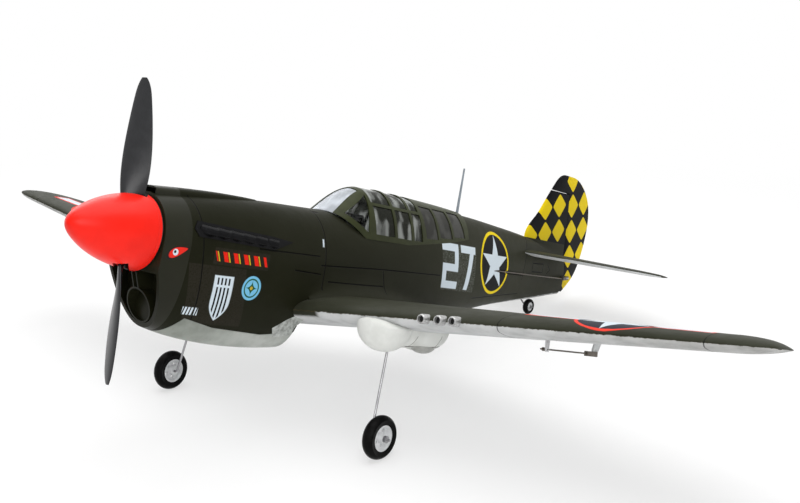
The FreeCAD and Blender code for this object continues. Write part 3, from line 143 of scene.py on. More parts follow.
# %% [markdown]
# ## Fields: patterns as arithmetic
# Every marking on this model is a number worked out at each point of the surface: a distance, a
# band, a star.  Blender does that with Math nodes.  Wrapping a node's output in a small class lets
# the pattern be written as plain arithmetic, and each plus or minus adds one node to the tree.
# %% Arithmetic on shader nodes
class Field:
    """A number at every point of a surface, carried by one output of the node tree."""

    def __init__(self, tree, output):
        self.tree, self.output = tree, output

    def op(self, kind, *others):
        node = self.tree.nodes.new("ShaderNodeMath")
        node.operation = kind
        for place, value in enumerate((self,) + others):
            if isinstance(value, Field):
                self.tree.links.new(value.output, node.inputs[place])
            else:
                node.inputs[place].default_value = float(value)
        return Field(self.tree, node.outputs[0])

    def __add__(self, other):
        return self.op("ADD", other)

    def __sub__(self, other):
        return self.op("SUBTRACT", other)

    def __mul__(self, other):
        return self.op("MULTIPLY", other)

    def __neg__(self):
        return self.op("MULTIPLY", -1.0)

    def __abs__(self):
        return self.op("ABSOLUTE")

    def __or__(self, other):
        """The larger of two: both marks together."""
        return self.op("MAXIMUM", other)

    def __and__(self, other):
        """The smaller of two: only where both marks are."""
        return self.op("MINIMUM", other)

    def less(self, limit, soft):
        """1 where the field is below the limit, 0 above, with a soft edge of that width."""
        node = self.tree.nodes.new("ShaderNodeMapRange")
        node.interpolation_type = "SMOOTHSTEP"
        self.tree.links.new(self.output, node.inputs["Value"])
        for name, value in (("From Min", -soft), ("From Max", soft)):
            if isinstance(limit, Field):
                node.inputs[name].default_value = value
            else:
                node.inputs[name].default_value = limit + value
        if isinstance(limit, Field):
            self.tree.links.new((self - limit).output, node.inputs["Value"])
        node.inputs["To Min"].default_value = 1.0
        node.inputs["To Max"].default_value = 0.0
        return Field(self.tree, node.outputs["Result"])

    def more(self, limit, soft):
        """1 where the field is above the limit."""
        return -self.less(limit, soft) + 1.0

    def near(self, value, half, soft):
        """1 within half of a value: a line or a band."""
        return abs(self - value).less(half, soft)


def size_of(a, b):
    """Length of the vector (a, b): the root of the sum of the squares."""
    return (a * a + b * b).op("SQRT")


# %% [markdown]
# ## One finish, many surfaces
# Foam, moulded plastic and wire all use the same shader with other numbers.  Each finish starts
# from a recipe: where the point is in the aeroplane's own axes, and a few grains of noise, from a
# fine one for the beads of the foam to a broad one for uneven paint.
# %% A finish and its coordinates
class Finish:
    """A material with its shader, the aeroplane's axes as fields and layered noise."""

    def __init__(self, name, rough=0.5, metal=0.0, gloss=0.5):
        self.material = bpy.data.materials.new(name)
        self.material.use_nodes = True
        self.tree = self.material.node_tree
        self.shader = self.tree.nodes["Principled BSDF"]
        self.shader.inputs["Roughness"].default_value = rough
        self.shader.inputs["Metallic"].default_value = metal
        self.shader.inputs["Specular IOR Level"].default_value = gloss
        spot = self.tree.nodes.new("ShaderNodeTexCoord")
        turn = self.tree.nodes.new("ShaderNodeMapping")
        turn.inputs["Rotation"].default_value = (STANCE, 0.0, 0.0)
        turn.inputs["Scale"].default_value = (1000.0, 1000.0, 1000.0)
        turn.inputs["Location"].default_value = tuple(-(STEP @ TURN))
        self.tree.links.new(spot.outputs["Object"], turn.inputs["Vector"])
        self.place = turn.outputs["Vector"]
        split = self.tree.nodes.new("ShaderNodeSeparateXYZ")
        self.tree.links.new(self.place, split.inputs[0])
        self.x, self.y, self.z = (Field(self.tree, out) for out in split.outputs)

    def noise(self, grain, detail=3.0, stretch=(1, 1, 1), rough=0.55):
        """Smooth noise from 0 to 1 whose patches are about as many millimetres as grain."""
        squeeze = self.tree.nodes.new("ShaderNodeMapping")
        squeeze.inputs["Scale"].default_value = tuple(s / grain for s in stretch)
        self.tree.links.new(self.place, squeeze.inputs["Vector"])
        node = self.tree.nodes.new("ShaderNodeTexNoise")
        node.inputs["Scale"].default_value = 1.0
        node.inputs["Detail"].default_value = detail
        node.inputs["Roughness"].default_value = rough
        self.tree.links.new(squeeze.outputs["Vector"], node.inputs["Vector"])
        return Field(self.tree, node.outputs[0])

    def mix(self, base, over, mask):
        """Colour over another colour where the mask is 1."""
        node = self.tree.nodes.new("ShaderNodeMix")
        node.data_type = "RGBA"
        for place, value in ((6, base), (7, over)):
            if isinstance(value, tuple):
                node.inputs[place].default_value = value + (1.0,)
            else:
                self.tree.links.new(value, node.inputs[place])
        self.tree.links.new(mask.output, node.inputs[0])
        return node.outputs[2]

    def colour(self, value):
        self.tree.links.new(value, self.shader.inputs["Base Color"])

    def rough(self, field):
        self.tree.links.new(field.output, self.shader.inputs["Roughness"])

    def bump(self, field, height):
        """Raise the surface by field times height, in millimetres."""
        node = self.tree.nodes.new("ShaderNodeBump")
        node.inputs["Strength"].default_value = 1.0
        node.inputs["Distance"].default_value = height / 1000.0
        self.tree.links.new(field.output, node.inputs["Height"])
        self.tree.links.new(node.outputs[0], self.shader.inputs["Normal"])

    def paint(self, *objects):
        for obj in objects:
            obj.data.materials.clear()
            obj.data.materials.append(self.material)


# %% [markdown]
# ## Plain finishes first
# Small parts share a handful of finishes.  None is one flat colour: plastic has faint moulding
# grain and uneven gloss, wire has drawn streaks, rubber has a bloom.  The recipe for all of them
# is a base colour, a second colour laid over it by noise, and the same noise in roughness and
# bump.
# %% Plastic, wire, rubber and nylon
def plain_finish(name, base, over, rough, grain=6.0, spread=0.12, height=0.05, metal=0.0,
                 stretch=(1, 1, 1), gloss=0.5):
    """A moulded or drawn surface: two colours mixed by noise, which also moves the gloss."""
    finish = Finish(name, rough, metal, gloss)
    cloud = finish.noise(grain, 4.0, stretch)
    finish.colour(finish.mix(base, over, cloud.more(0.52, 0.25)))
    finish.rough(cloud * spread + (rough - spread / 2))
    finish.bump(finish.noise(grain / 8.0, 2.0, stretch), height)
    return finish


nylon_white = plain_finish("nylon_white", (0.66, 0.67, 0.67), (0.56, 0.57, 0.58), 0.38)
steel_wire = plain_finish("steel_wire", (0.42, 0.42, 0.43), (0.26, 0.26, 0.27), 0.28, 3.0,
                          metal=1.0, height=0.02, stretch=(1, 1, 0.1))
dark_rod = plain_finish("dark_rod", (0.10, 0.085, 0.07), (0.17, 0.15, 0.13), 0.42, 3.0, metal=0.6)
rubber = plain_finish("rubber", (0.002, 0.002, 0.002), (0.005, 0.005, 0.005), 0.34, 4.0, 0.16,
                      0.05, gloss=0.05)
satin_black = plain_finish("satin_black", (0.005, 0.0055, 0.007), (0.010, 0.011, 0.013), 0.30,
                           9.0, 0.12, 0.02, gloss=0.42)
exhaust_black = plain_finish("exhaust_black", (0.002, 0.002, 0.0025), (0.005, 0.005, 0.006), 0.30,
                             5.0, 0.14, 0.08, gloss=0.1)
cockpit_black = plain_finish("cockpit_black", (0.006, 0.006, 0.006), (0.014, 0.014, 0.013), 0.6,
                             5.0, gloss=0.2)
servo_case = plain_finish("servo_case", (0.02, 0.03, 0.07), (0.03, 0.04, 0.09), 0.4)
motor_metal = plain_finish("motor_metal", (0.5, 0.5, 0.52), (0.35, 0.35, 0.37), 0.3, 4.0,
                           metal=1.0, stretch=(1, 0.1, 1))
plywood = plain_finish("plywood", (0.50, 0.34, 0.18), (0.38, 0.24, 0.12), 0.6, 14.0,
                       stretch=(0.2, 4, 4))
battery_wrap = plain_finish("battery_wrap", (0.01, 0.04, 0.16), (0.02, 0.06, 0.2), 0.3, 20.0)
webbing = plain_finish("webbing", (0.01, 0.01, 0.011), (0.03, 0.03, 0.032), 0.8, 1.6, height=0.2,
                       stretch=(1, 4, 1))
mast_grey = plain_finish("mast_grey", (0.26, 0.30, 0.34), (0.20, 0.23, 0.26), 0.42)
hub_white = plain_finish("hub_white", (0.74, 0.75, 0.76), (0.62, 0.63, 0.64), 0.30)

for part_names, finish in (
        (("aileron_horn_left", "aileron_horn_right", "aileron_servo_arm_left",
          "aileron_servo_arm_right", "elevator_horn", "elevator_servo_arm", "rudder_horn",
          "rudder_servo_arm", "wing_screws"), nylon_white),
        (("gear_strut_left", "gear_strut_right", "tail_gear_wire", "prop_shaft", "prop_nut",
          "elevator_joiner", "axle_collars"), steel_wire),
        (("aileron_pushrod_left", "aileron_pushrod_right", "elevator_pushrod",
          "rudder_pushrod"), dark_rod),
        (("tyre_left", "tyre_right", "tail_tyre"), rubber),
        (("propeller", "spinner_backplate"), satin_black),
        (("exhaust_left", "exhaust_right"), exhaust_black),
        (("cockpit_tray", "instrument_hood", "pilot_seat"), cockpit_black),
        (("aileron_servo_left", "aileron_servo_right", "elevator_servo", "rudder_servo",
          "receiver", "speed_controller"), servo_case),
        (("motor",), motor_metal), (("motor_mount",), plywood), (("battery",), battery_wrap),
        (("battery_strap",), webbing), (("antenna_mast",), mast_grey),
        (("wheel_hub_left", "wheel_hub_right", "tail_wheel_hub"), hub_white)):
    for part in part_names:
        finish.paint(SKINS[part])
print("plain finishes on", sum(bool(o.data.materials) for o in SKINS.values()), "parts")

# %% [markdown]
# ## Foam, two tones of paint
# The airframe is moulded from bead foam and sprayed: dark olive above, light grey below.  The
# olive is nearly black at the nose and greyer towards the tail.  The line between the tones is
# sprayed by hand, so it wanders a little.  A normal that points below level is underside; on the
# fuselage the belly line is a height that rises towards the tail instead.
# %% Olive above, grey below
OLIVE_NOSE = (0.0095, 0.0100, 0.0042)
OLIVE_TAIL = (0.028, 0.029, 0.018)
BELLY = (0.60, 0.61, 0.61)
BELLY_SHADE = (0.47, 0.48, 0.48)
PAINT_GLOSS = 0.05


def olive(finish, front=120.0, rear=620.0):
    """Olive paint: dark at the nose, greyer aft, clouded by broad and fine noise."""
    ramp = (finish.y - front) * (1.0 / (rear - front))
    cloud = finish.noise(34.0, 4.0, (1, 0.5, 1))
    tone = ramp.more(0.5, 0.6) + (cloud - 0.5) * 0.5
    return finish.mix(OLIVE_NOSE, OLIVE_TAIL, tone)


def foam(finish, height=0.16):
    """The skin of bead foam: shallow dimples a few millimetres apart under the paint."""
    return finish.noise(2.2, 2.0) * height


def normal_up(finish):
    """Upward part of the surface's own direction, in the aeroplane's axes."""
    spot = finish.tree.nodes.new("ShaderNodeTexCoord")
    turn = finish.tree.nodes.new("ShaderNodeMapping")
    turn.inputs["Rotation"].default_value = (STANCE, 0.0, 0.0)
    finish.tree.links.new(spot.outputs["Normal"], turn.inputs["Vector"])
    split = finish.tree.nodes.new("ShaderNodeSeparateXYZ")
    finish.tree.links.new(turn.outputs["Vector"], split.inputs[0])
    return Field(finish.tree, split.outputs[2])


def belly_grey(finish, light=BELLY, shade=BELLY_SHADE):
    """Light grey with faint clouds."""
    return finish.mix(light, shade, finish.noise(18.0, 3.0).more(0.55, 0.2))


print("olive from", OLIVE_NOSE, "to", OLIVE_TAIL)

# %% [markdown]
# ## Marks as distances
# Star, disc, bars and block numbers are common markings.  Each is a field that is 1 inside.  A
# five-pointed star is one straight edge seen again and again: the angle round the centre is folded
# into a tenth of a turn, where a single line divides inside from outside.
# %% Star, block and stroke
def star(u, v, radius, soft):
    """1 inside a five-pointed star with a point along +v."""
    angle = u.op("ARCTAN2", v)
    sector = 2 * math.pi / 5
    folded = abs((angle + sector / 2 + 2 * math.pi).op("MODULO", sector) - sector / 2)
    reach = size_of(u, v)
    along = reach * folded.op("COSINE")
    across = reach * folded.op("SINE")
    inner = 0.382 * radius
    point = np.array([radius, 0.0])
    notch = np.array([inner * math.cos(sector / 2), inner * math.sin(sector / 2)])
    edge = notch - point
    outward = np.array([edge[1], -edge[0]]) / np.hypot(*edge)
    distance = along * float(outward[0]) + across * float(outward[1])
    return distance.less(float(outward @ point), soft)


def block(u, v, centre, half, soft, lean=0.0):
    """1 inside a rectangle about centre; lean moves it sideways with height."""
    shifted = u - centre[0] - (v - centre[1]) * lean
    return shifted.near(0.0, half[0], soft) & v.near(centre[1], half[1], soft)


def blocks(u, v, rectangles, soft):
    """1 inside any of several rectangles, each given as centre, half size and lean."""
    mask = block(u, v, *rectangles[0][:2], soft, *rectangles[0][2:])
    for centre, half, *lean in rectangles[1:]:
        mask = mask | block(u, v, centre, half, soft, *lean)
    return mask


def line(u, v, start, end, half=0.6, soft=0.25):
    """1 on a thin straight line between two points, the width given in millimetres."""
    run = np.subtract(end, start)
    length = float(np.hypot(*run))
    run = run / length
    du, dv = u - float(start[0]), v - float(start[1])
    along = du * float(run[0]) + dv * float(run[1])
    across = du * float(-run[1]) + dv * float(run[0])
    return across.near(0.0, half, soft) & along.near(length / 2, length / 2, soft)


def lines(u, v, strokes, half=0.6, soft=0.25):
    """1 on any of several strokes."""
    mask = line(u, v, *strokes[0], half, soft)
    for stroke in strokes[1:]:
        mask = mask | line(u, v, *stroke, half, soft)
    return mask


print("marks ready")

# %% [markdown]
# ## Fuselage
# Besides the two tones the body carries what the mould and the decal sheet leave: thin dark panel
# lines, a white block number on each side with the star in its yellow ring behind it, and a
# checkered fin.  All of it is laid on from the side, as a decal is, on height and length alone.
# %% Fuselage paint
WHITE = (0.62, 0.70, 0.76)
YELLOW = (0.80, 0.60, 0.01)
BLACK = (0.006, 0.006, 0.007)
LINE = (0.002, 0.002, 0.0015)
ROUNDEL = (598.5, 24.5)      # middle of the star, aft and up
ROUNDEL_RADIUS = 37.0
RING_WIDTH = 3.4
SIDE_LEAN = 0.13             # how far the side marks lean forward with height
FIN_FOOT = (690.0, 64.5)     # where the checkers start, aft and up
FIN_CHECKERS = ((760.5, 113.5), (33.4, 33.2))       # middle of a diamond; the two steps
RUDDER_CHECKERS = ((794.3, 117.5), (33.4, 34.6))    # laid on by itself, a little lower
CHECKER_TURN = math.radians(13.3)   # the rows lean with the fin


def checkers(finish, centre, step):
    """1 on yellow diamonds: where cos(2 pi u) + cos(2 pi v) is above zero on turned axes."""
    aft, up = finish.y - centre[0], finish.z - centre[1]
    c, s = math.cos(CHECKER_TURN), math.sin(CHECKER_TURN)
    u = (aft * c + up * s) * (2 * math.pi / step[0])
    v = (up * c - aft * s) * (2 * math.pi / step[1])
    return (u.op("COSINE") + v.op("COSINE")).more(0.05, 0.03)


NUMBER_AFT = 513.0           # middle of the block number
NUMBER_FILM = ((513, 13), (38, 26))
TWO = (((492, 35), (17, 4.2)), ((505, 25), (4.2, 12)), ((492, 12.5), (17, 4.2)),
       ((479, 2), (4.2, 12)), ((492, -7), (17, 4.2)))
SEVEN = (((532, 35), (17, 4.2)), ((536, 12), (4.6, 23), 0.22))


def side_marks(finish, colour):
    """Number, ring, disc and star on both sides of the rear body."""
    v = finish.z - ROUNDEL[1]
    u = finish.y - ROUNDEL[0] - v * -SIDE_LEAN
    reach = size_of(u, v)
    colour = finish.mix(colour, YELLOW, reach.less(ROUNDEL_RADIUS, 0.4))
    colour = finish.mix(colour, BLACK, reach.less(ROUNDEL_RADIUS - RING_WIDTH, 0.4))
    colour = finish.mix(colour, WHITE, star(u, v, ROUNDEL_RADIUS - RING_WIDTH - 0.6, 0.3))
    q, w = finish.y + (finish.z - 14.5) * SIDE_LEAN, finish.z
    left = finish.x.more(0.0, 0.01)         # the number reads from either side
    q = q * -1.0 + 2 * NUMBER_AFT + left * (q * 2.0 - 2 * NUMBER_AFT)
    speckle = finish.noise(1.1, 2.0).more(0.53, 0.1)
    colour = finish.mix(colour, (0.13, 0.14, 0.12), block(q, w, *NUMBER_FILM, 0.6)
                        & speckle * 0.7)
    return finish.mix(colour, WHITE, blocks(q, w, TWO + SEVEN, 0.4))


def flecks(finish):
    """A small white spot on the joint behind the nose."""
    return finish.y.near(271.5, 1.1, 0.4) & finish.z.near(16.8, 3.6, 0.8)


BODY_STROKES = (((277.5, -29), (273, 46)), ((270, -5), (365, -0.5)), ((365, -0.5), (472, 2)),
                ((284, -20), (371, -18)), ((185, 2.5), (267, 3.7)), ((235, -12.7), (272, -13.6)),
                ((366, -2), (376, -26)), ((112, 39), (129, -75)), ((274, 45), (281, 45)),
                ((678, 9), (688, 68)), ((640, 15), (680, 16)), ((704, 22), (735, 23)),
                ((735, 23), (736, 34)), ((705, 33), (736, 34)), ((704, 22), (705, 33)),
                ((748, 22), (756, 28)), ((748, 34), (756, 28)), ((560, -20), (680, -8)))
print("stars of radius", ROUNDEL_RADIUS, "and", len(BODY_STROKES), "panel lines")

# %% [markdown]
# ## Decals on the nose
# Behind the spinner an eye looks forward.  Further back come a row of slanted bars, a striped
# shield with a small tab before it, and a disc with a four-pointed compass star.  Clear decal film
# shows as a slightly different black around them.  Each mark is a short function that lays its
# colours over the colour below, so the fuselage and the cowl can both carry the same set.
# %% Eye, bars, shield and disc
EYE_RED = (0.75, 0.02, 0.01)
BAR_GOLD = (0.62, 0.40, 0.02)
FILM = (0.024, 0.021, 0.015)
FILM_SHEETS = (((166, -9), (34, 7.5)), ((146, -45), (34, 27), -0.25))
SHIELD = (151.0, -45.0)      # middle of the shield, aft and up
DISC = (184.5, -34.5)        # middle of the compass disc


def nose_eye(finish, colour):
    """A lid that narrows aft, |across| / (4 - 0.22 along) against |along| / 9.8, and a ball."""
    y, z = finish.y, finish.z
    along, up = y - 91.5, z + 9.8 - (y - 91.5) * 0.36
    lid = size_of(along * (1 / 9.8), up.op("DIVIDE", along * -0.22 + 4.0))
    colour = finish.mix(colour, BLACK, lid.less(1.14, 0.06))
    colour = finish.mix(colour, EYE_RED, lid.less(0.96, 0.06))
    colour = finish.mix(colour, WHITE, size_of(y - 88.6, z + 10.6).less(2.9, 0.2))
    return finish.mix(colour, BLACK, size_of(y - 88.0, z + 10.2).less(1.3, 0.2))


def nose_bars(finish, colour):
    """Slanted red bars 12.5 mm apart with a thin gold line between them."""
    slanted = finish.y + finish.z * 0.45
    phase = (slanted * (1 / 12.5)).op("FRACT")
    reach = slanted.near(161.5, 31.0, 0.3) & finish.z.near(-9.0, 4.4, 0.3)
    colour = finish.mix(colour, EYE_RED, reach & phase.near(0.34, 0.20, 0.03))
    return finish.mix(colour, BAR_GOLD, reach & phase.near(0.66, 0.06, 0.03))


def nose_shield(finish, colour):
    """Half width 11.5 at the top, taken in by the power 2.2 of the depth; stripes inside."""
    v = finish.z - SHIELD[1]
    u = finish.y - SHIELD[0] + v * 0.1
    taper = abs(u) * (1 / 11.5) + ((v + 4.0) * (-1 / 19.0)).op("MAXIMUM", 0.0).op("POWER", 2.2)
    shield = taper.less(1.0, 0.05) & v.less(19.0, 0.4)
    inside = taper.less(0.84, 0.05) & v.less(17.0, 0.4)
    stripes = (u * (1 / 4.4) + 40.5).op("FRACT").near(0.5, 0.27, 0.05) | v.near(9.5, 1.1, 0.2)
    colour = finish.mix(colour, WHITE, shield)
    colour = finish.mix(colour, BLACK, inside & (-stripes + 1.0))
    tab = block(finish.y, finish.z, (122.5, -61.0), (8.5, 3.6), 0.3, -0.2)
    ticks = (finish.y * (1 / 3.6)).op("FRACT").near(0.5, 0.3, 0.06)
    return finish.mix(colour, WHITE, tab & ticks)


def nose_disc(finish, colour):
    """A blue disc with a ring; the star is where distance + 2.6 sqrt|u v| is small."""
    u, v = finish.y - DISC[0], finish.z - DISC[1]
    reach = size_of(u, v)
    points = (abs(u * v).op("SQRT") * 2.6 + reach).less(8.6, 0.3)
    colour = finish.mix(colour, (0.18, 0.50, 0.72), reach.less(11.5, 0.3))
    colour = finish.mix(colour, (0.02, 0.09, 0.04), reach.near(8.4, 0.7, 0.25) | points)
    return finish.mix(colour, (0.5, 0.36, 0.04), reach.less(1.7, 0.25))


def nose_marks(finish, colour):
    """All the decals of the nose on their film."""
    film = blocks(finish.y, finish.z, FILM_SHEETS, 0.5)
    colour = finish.mix(colour, FILM, film & finish.noise(1.4, 2.0).more(0.4, 0.2) * 0.8)
    for mark in (nose_eye, nose_bars, nose_shield, nose_disc):
        colour = mark(finish, colour)
    return colour


print("nose decals ready")

# %% [markdown]
# ## Paint of the body, fin and rudder
# The body's belly is grey behind the wing only, up to a line in two straight pieces.  The fin's
# front edge, above and behind the tail, and the whole rudder are black with yellow diamonds.
# %% Fuselage, fin and rudder
BELLY_LINES = ((420.0, 0.2015, -67.0), (616.0, 0.1505, -27.5))     # aft, rise, height


fuselage_paint = Finish("fuselage_paint", 0.46, gloss=PAINT_GLOSS)
shade = olive(fuselage_paint)
lower, upper = ((fuselage_paint.y - aft) * rise + height for aft, rise, height in BELLY_LINES)
wander = (fuselage_paint.noise(9.0, 3.0) - 0.5) * 3.0
under = (fuselage_paint.z + wander).less(lower.op("MINIMUM", upper), 0.8)
under = under & fuselage_paint.y.more(410.0, 1.0)
paint = fuselage_paint.mix(shade, belly_grey(fuselage_paint), under)
paint = side_marks(fuselage_paint, nose_marks(fuselage_paint, paint))
fin_zone = (fuselage_paint.z.more(FIN_FOOT[1], 0.3) & fuselage_paint.y.more(FIN_FOOT[0], 1.0)
            & abs(fuselage_paint.x).less(6.5, 0.3))
ahead_of_hinge = (fuselage_paint.y + (fuselage_paint.z - 97.0) * 0.2).less(780.0, 0.3)
checker_colour = fuselage_paint.mix(BLACK, YELLOW, ahead_of_hinge
                                    & checkers(fuselage_paint, *FIN_CHECKERS))
paint = fuselage_paint.mix(paint, checker_colour, fin_zone)
seams = lines(fuselage_paint.y, fuselage_paint.z, BODY_STROKES)
paint = fuselage_paint.mix(paint, LINE, seams)
# A small white spot on the joint behind the nose.
paint = fuselage_paint.mix(paint, WHITE, flecks(fuselage_paint))
fuselage_paint.colour(paint)
fuselage_paint.rough(fuselage_paint.noise(14.0, 3.0) * 0.16 + 0.36)
fuselage_paint.bump(foam(fuselage_paint) - seams * 0.8, 0.5)
fuselage_paint.paint(SKINS["fuselage"])

rudder_paint = Finish("rudder_paint", 0.44, gloss=PAINT_GLOSS)
horn_balance = rudder_paint.y.more(771.0, 0.4) | rudder_paint.z.less(128.0, 0.4)
rudder_paint.colour(rudder_paint.mix(BLACK, YELLOW, horn_balance
                                     & checkers(rudder_paint, *RUDDER_CHECKERS)))
rudder_paint.rough(rudder_paint.noise(14.0, 3.0) * 0.14 + 0.36)
rudder_paint.bump(foam(rudder_paint), 0.5)
rudder_paint.paint(SKINS["rudder"])
print("fuselage and fin painted")

# %% [markdown]
# ## Wing and tailplane
# Flying surfaces have the same two tones, split at the leading edge by the surface's own
# direction.  On top of each wing lies a star on a dark disc between two white bars, all with a red
# border.  Panel joints run along the chord, and the ailerons are set off by a fine dark gap.
# %% Wing paint
RED = (0.78, 0.05, 0.03)
EDGE_BROWN = (0.075, 0.055, 0.022)
BADGE = (348.0, 309.5)       # centre of the wing marking: out along the span, and aft
BADGE_RADIUS = 35.0
BADGE_BORDER = 3.0
BADGE_BAR = (84.0, 8.5)      # half length and half width of the white bars
PANEL_JOINTS = (258.0, 437.5)       # out along the span
ROOT_HALF = 66.0             # inboard of here the olive runs round the leading edge


def wing_paint_for(name, badge):
    """Olive top, grey underside, with or without the badge on top."""
    finish = Finish(name, 0.5, gloss=PAINT_GLOSS)
    up = normal_up(finish)
    flecks = (finish.noise(3.0, 4.0) - 0.5) * 0.9
    top = (up + flecks).more(-0.12, 0.10) | (abs(finish.x).less(ROOT_HALF, 3.0)
                                              & up.more(-0.8, 0.1))
    shade = finish.mix((0.021, 0.022, 0.013), (0.038, 0.040, 0.028),
                       finish.noise(42.0, 4.0, (0.5, 1, 1)).more(0.5, 0.25))
    out = abs(finish.x)
    seams = out.near(PANEL_JOINTS[0], 0.5, 0.25) | out.near(PANEL_JOINTS[1], 0.5, 0.25)
    if badge:
        u, v = out - BADGE[0], finish.y - BADGE[1]
        reach = size_of(u, v)
        bars = block(u, v, (0, 0), BADGE_BAR, 0.4)
        border = block(u, v, (0, 0), (BADGE_BAR[0] + BADGE_BORDER, BADGE_BAR[1] + BADGE_BORDER),
                       0.4) | reach.less(BADGE_RADIUS + BADGE_BORDER, 0.4)
        shade = finish.mix(shade, RED, border)
        shade = finish.mix(shade, WHITE, bars)
        shade = finish.mix(shade, (0.016, 0.018, 0.028), reach.less(BADGE_RADIUS, 0.4))
        shade = finish.mix(shade, WHITE, star(u, -v, BADGE_RADIUS, 0.4))
    # The underside is painted a darker grey towards the wing tips.
    outboard_grey = belly_grey(finish, (0.44, 0.44, 0.43), (0.30, 0.30, 0.29))
    under = finish.mix(belly_grey(finish), outboard_grey, out.more(330.0, 170.0))
    colour = finish.mix(under, shade, top)
    colour = finish.mix(colour, EDGE_BROWN, (up + flecks).near(-0.10, 0.05, 0.04) * 0.75)
    colour = finish.mix(colour, LINE, seams * 0.8)
    finish.colour(colour)
    finish.rough(finish.noise(16.0, 3.0) * 0.2 + 0.38)
    finish.bump(foam(finish) - seams * 0.4, 0.5)
    return finish


wing_paint = wing_paint_for("wing_paint", True)
wing_paint.paint(SKINS["wing"], SKINS["aileron_left"], SKINS["aileron_right"])
tail_paint = wing_paint_for("tail_paint", False)
tail_paint.paint(SKINS["stabilizer"], SKINS["elevator_left"], SKINS["elevator_right"])

fairing_paint = Finish("fairing_paint", 0.5, gloss=PAINT_GLOSS)
fairing_shade = belly_grey(fairing_paint, (0.74, 0.75, 0.72), (0.64, 0.65, 0.62))
door = (line(fairing_paint.y, fairing_paint.z, (291, -63.5), (343, -61.0), 0.5)
        | lines(fairing_paint.y, fairing_paint.z, (((297, -52), (295, -63)),
                                                   ((332, -50), (330, -62))), 0.35))
fairing_paint.colour(fairing_paint.mix(fairing_shade, (0.12, 0.115, 0.10),
                                       door & abs(fairing_paint.x).more(136.0, 1.0)))
fairing_paint.rough(fairing_paint.noise(12.0, 3.0) * 0.2 + 0.36)
fairing_paint.bump(foam(fairing_paint), 0.5)

# The hatch under the nose is painted darker towards the front: painted shade where the belly faces
# down and forward.
belly_paint = Finish("belly_paint", 0.5, gloss=PAINT_GLOSS)
belly_light = belly_grey(belly_paint, (0.50, 0.52, 0.49), (0.38, 0.40, 0.37))
belly_painted_shade = belly_grey(belly_paint, (0.27, 0.29, 0.26), (0.20, 0.215, 0.19))
belly_paint.colour(belly_paint.mix(belly_painted_shade, belly_light, belly_paint.y.more(178.0, 60.0)))
belly_paint.rough(belly_paint.noise(12.0, 3.0) * 0.2 + 0.36)
belly_paint.bump(foam(belly_paint), 0.5)
belly_paint.paint(SKINS["battery_hatch"])
print("flying surfaces painted")

# %% [markdown]
# ## Cowl, spinner and canopy
# The cowl is a formed plastic shell with a satin coat, the spinner a smooth moulding in red-orange
# and the canopy olive frames over clear sheet.  Clear sheet is shown as thin glass that hardly
# bends the light, with painted reflections: lighter and darker colour in soft patches.  The panes
# differ by place: a bright windscreen whose whiteness is a painted reflection, clear front side
# windows, a sliding hood in patches of painted reflection and painted shade, and smoky rear glass.
# %% Plastic shells and clear panes
cowl_paint = Finish("cowl_paint", 0.34, gloss=0.16)
cowl_shade = cowl_paint.mix(OLIVE_NOSE, (0.014, 0.0145, 0.0065),
                            cowl_paint.noise(40.0, 3.0).more(0.5, 0.3))
cowl_paint.colour(nose_marks(cowl_paint, cowl_shade))
cowl_paint.rough(cowl_paint.noise(10.0, 3.0) * 0.14 + 0.30)
cowl_paint.bump(cowl_paint.noise(30.0, 2.0), 0.3)
cowl_paint.paint(SKINS["nose_cowl"])

SPINNER_GROOVE = 69.8        # the joint between spinner and backplate
spinner_red = Finish("spinner_red", 0.34, gloss=0.22)
glow = spinner_red.noise(25.0, 3.0)
spinner_red.colour(spinner_red.mix((0.92, 0.012, 0.003), (0.80, 0.009, 0.002),
                                   glow.more(0.5, 0.3)
                                   | spinner_red.y.near(SPINNER_GROOVE, 0.25, 0.15)))
spinner_red.rough(glow * 0.12 + 0.30)
spinner_red.bump(spinner_red.noise(1.2, 2.0)
                 - spinner_red.y.near(SPINNER_GROOVE, 0.3, 0.15) * 3.0, 0.05)
spinner_red.paint(SKINS["spinner"])

canopy_olive = Finish("canopy_olive", 0.32, gloss=0.14)
canopy_olive.colour(canopy_olive.mix((0.030, 0.036, 0.010), (0.020, 0.024, 0.006),
                                     canopy_olive.noise(9.0, 3.0).more(0.5, 0.3)))
canopy_olive.rough(canopy_olive.noise(7.0, 3.0) * 0.2 + 0.28)
canopy_olive.bump(canopy_olive.noise(2.0, 3.0), 0.06)
canopy_olive.paint(SKINS["canopy_frame"])
print("shells painted")


def pane(name, light, dark, clear, grain):
    """Formed sheet: partly clear, with painted reflections as lighter and darker colour in soft
    patches.
    """
    finish = Finish(name, 0.1, gloss=0.6)
    finish.shader.inputs["Transmission Weight"].default_value = clear
    finish.shader.inputs["IOR"].default_value = 1.12
    # Light patches of the colour are painted reflections; on the sliding hood the dark patches are
    # painted shade of the cockpit behind the sheet.
    reflection_patches = finish.noise(grain, 1.5, (1, 1, 0.45))
    finish.colour(finish.mix(dark, light, reflection_patches.more(0.5, 0.09)))
    finish.rough(reflection_patches * 0.02 + 0.005)
    return finish


# The windscreen's whitish colour is a painted reflection.
screen_pane = pane("screen_pane", (0.86, 0.90, 0.96), (0.58, 0.61, 0.65), 0.45, 20.0)
quarter_pane = pane("quarter_pane", (0.97, 0.97, 0.98), (0.84, 0.86, 0.86), 1.0, 16.0)
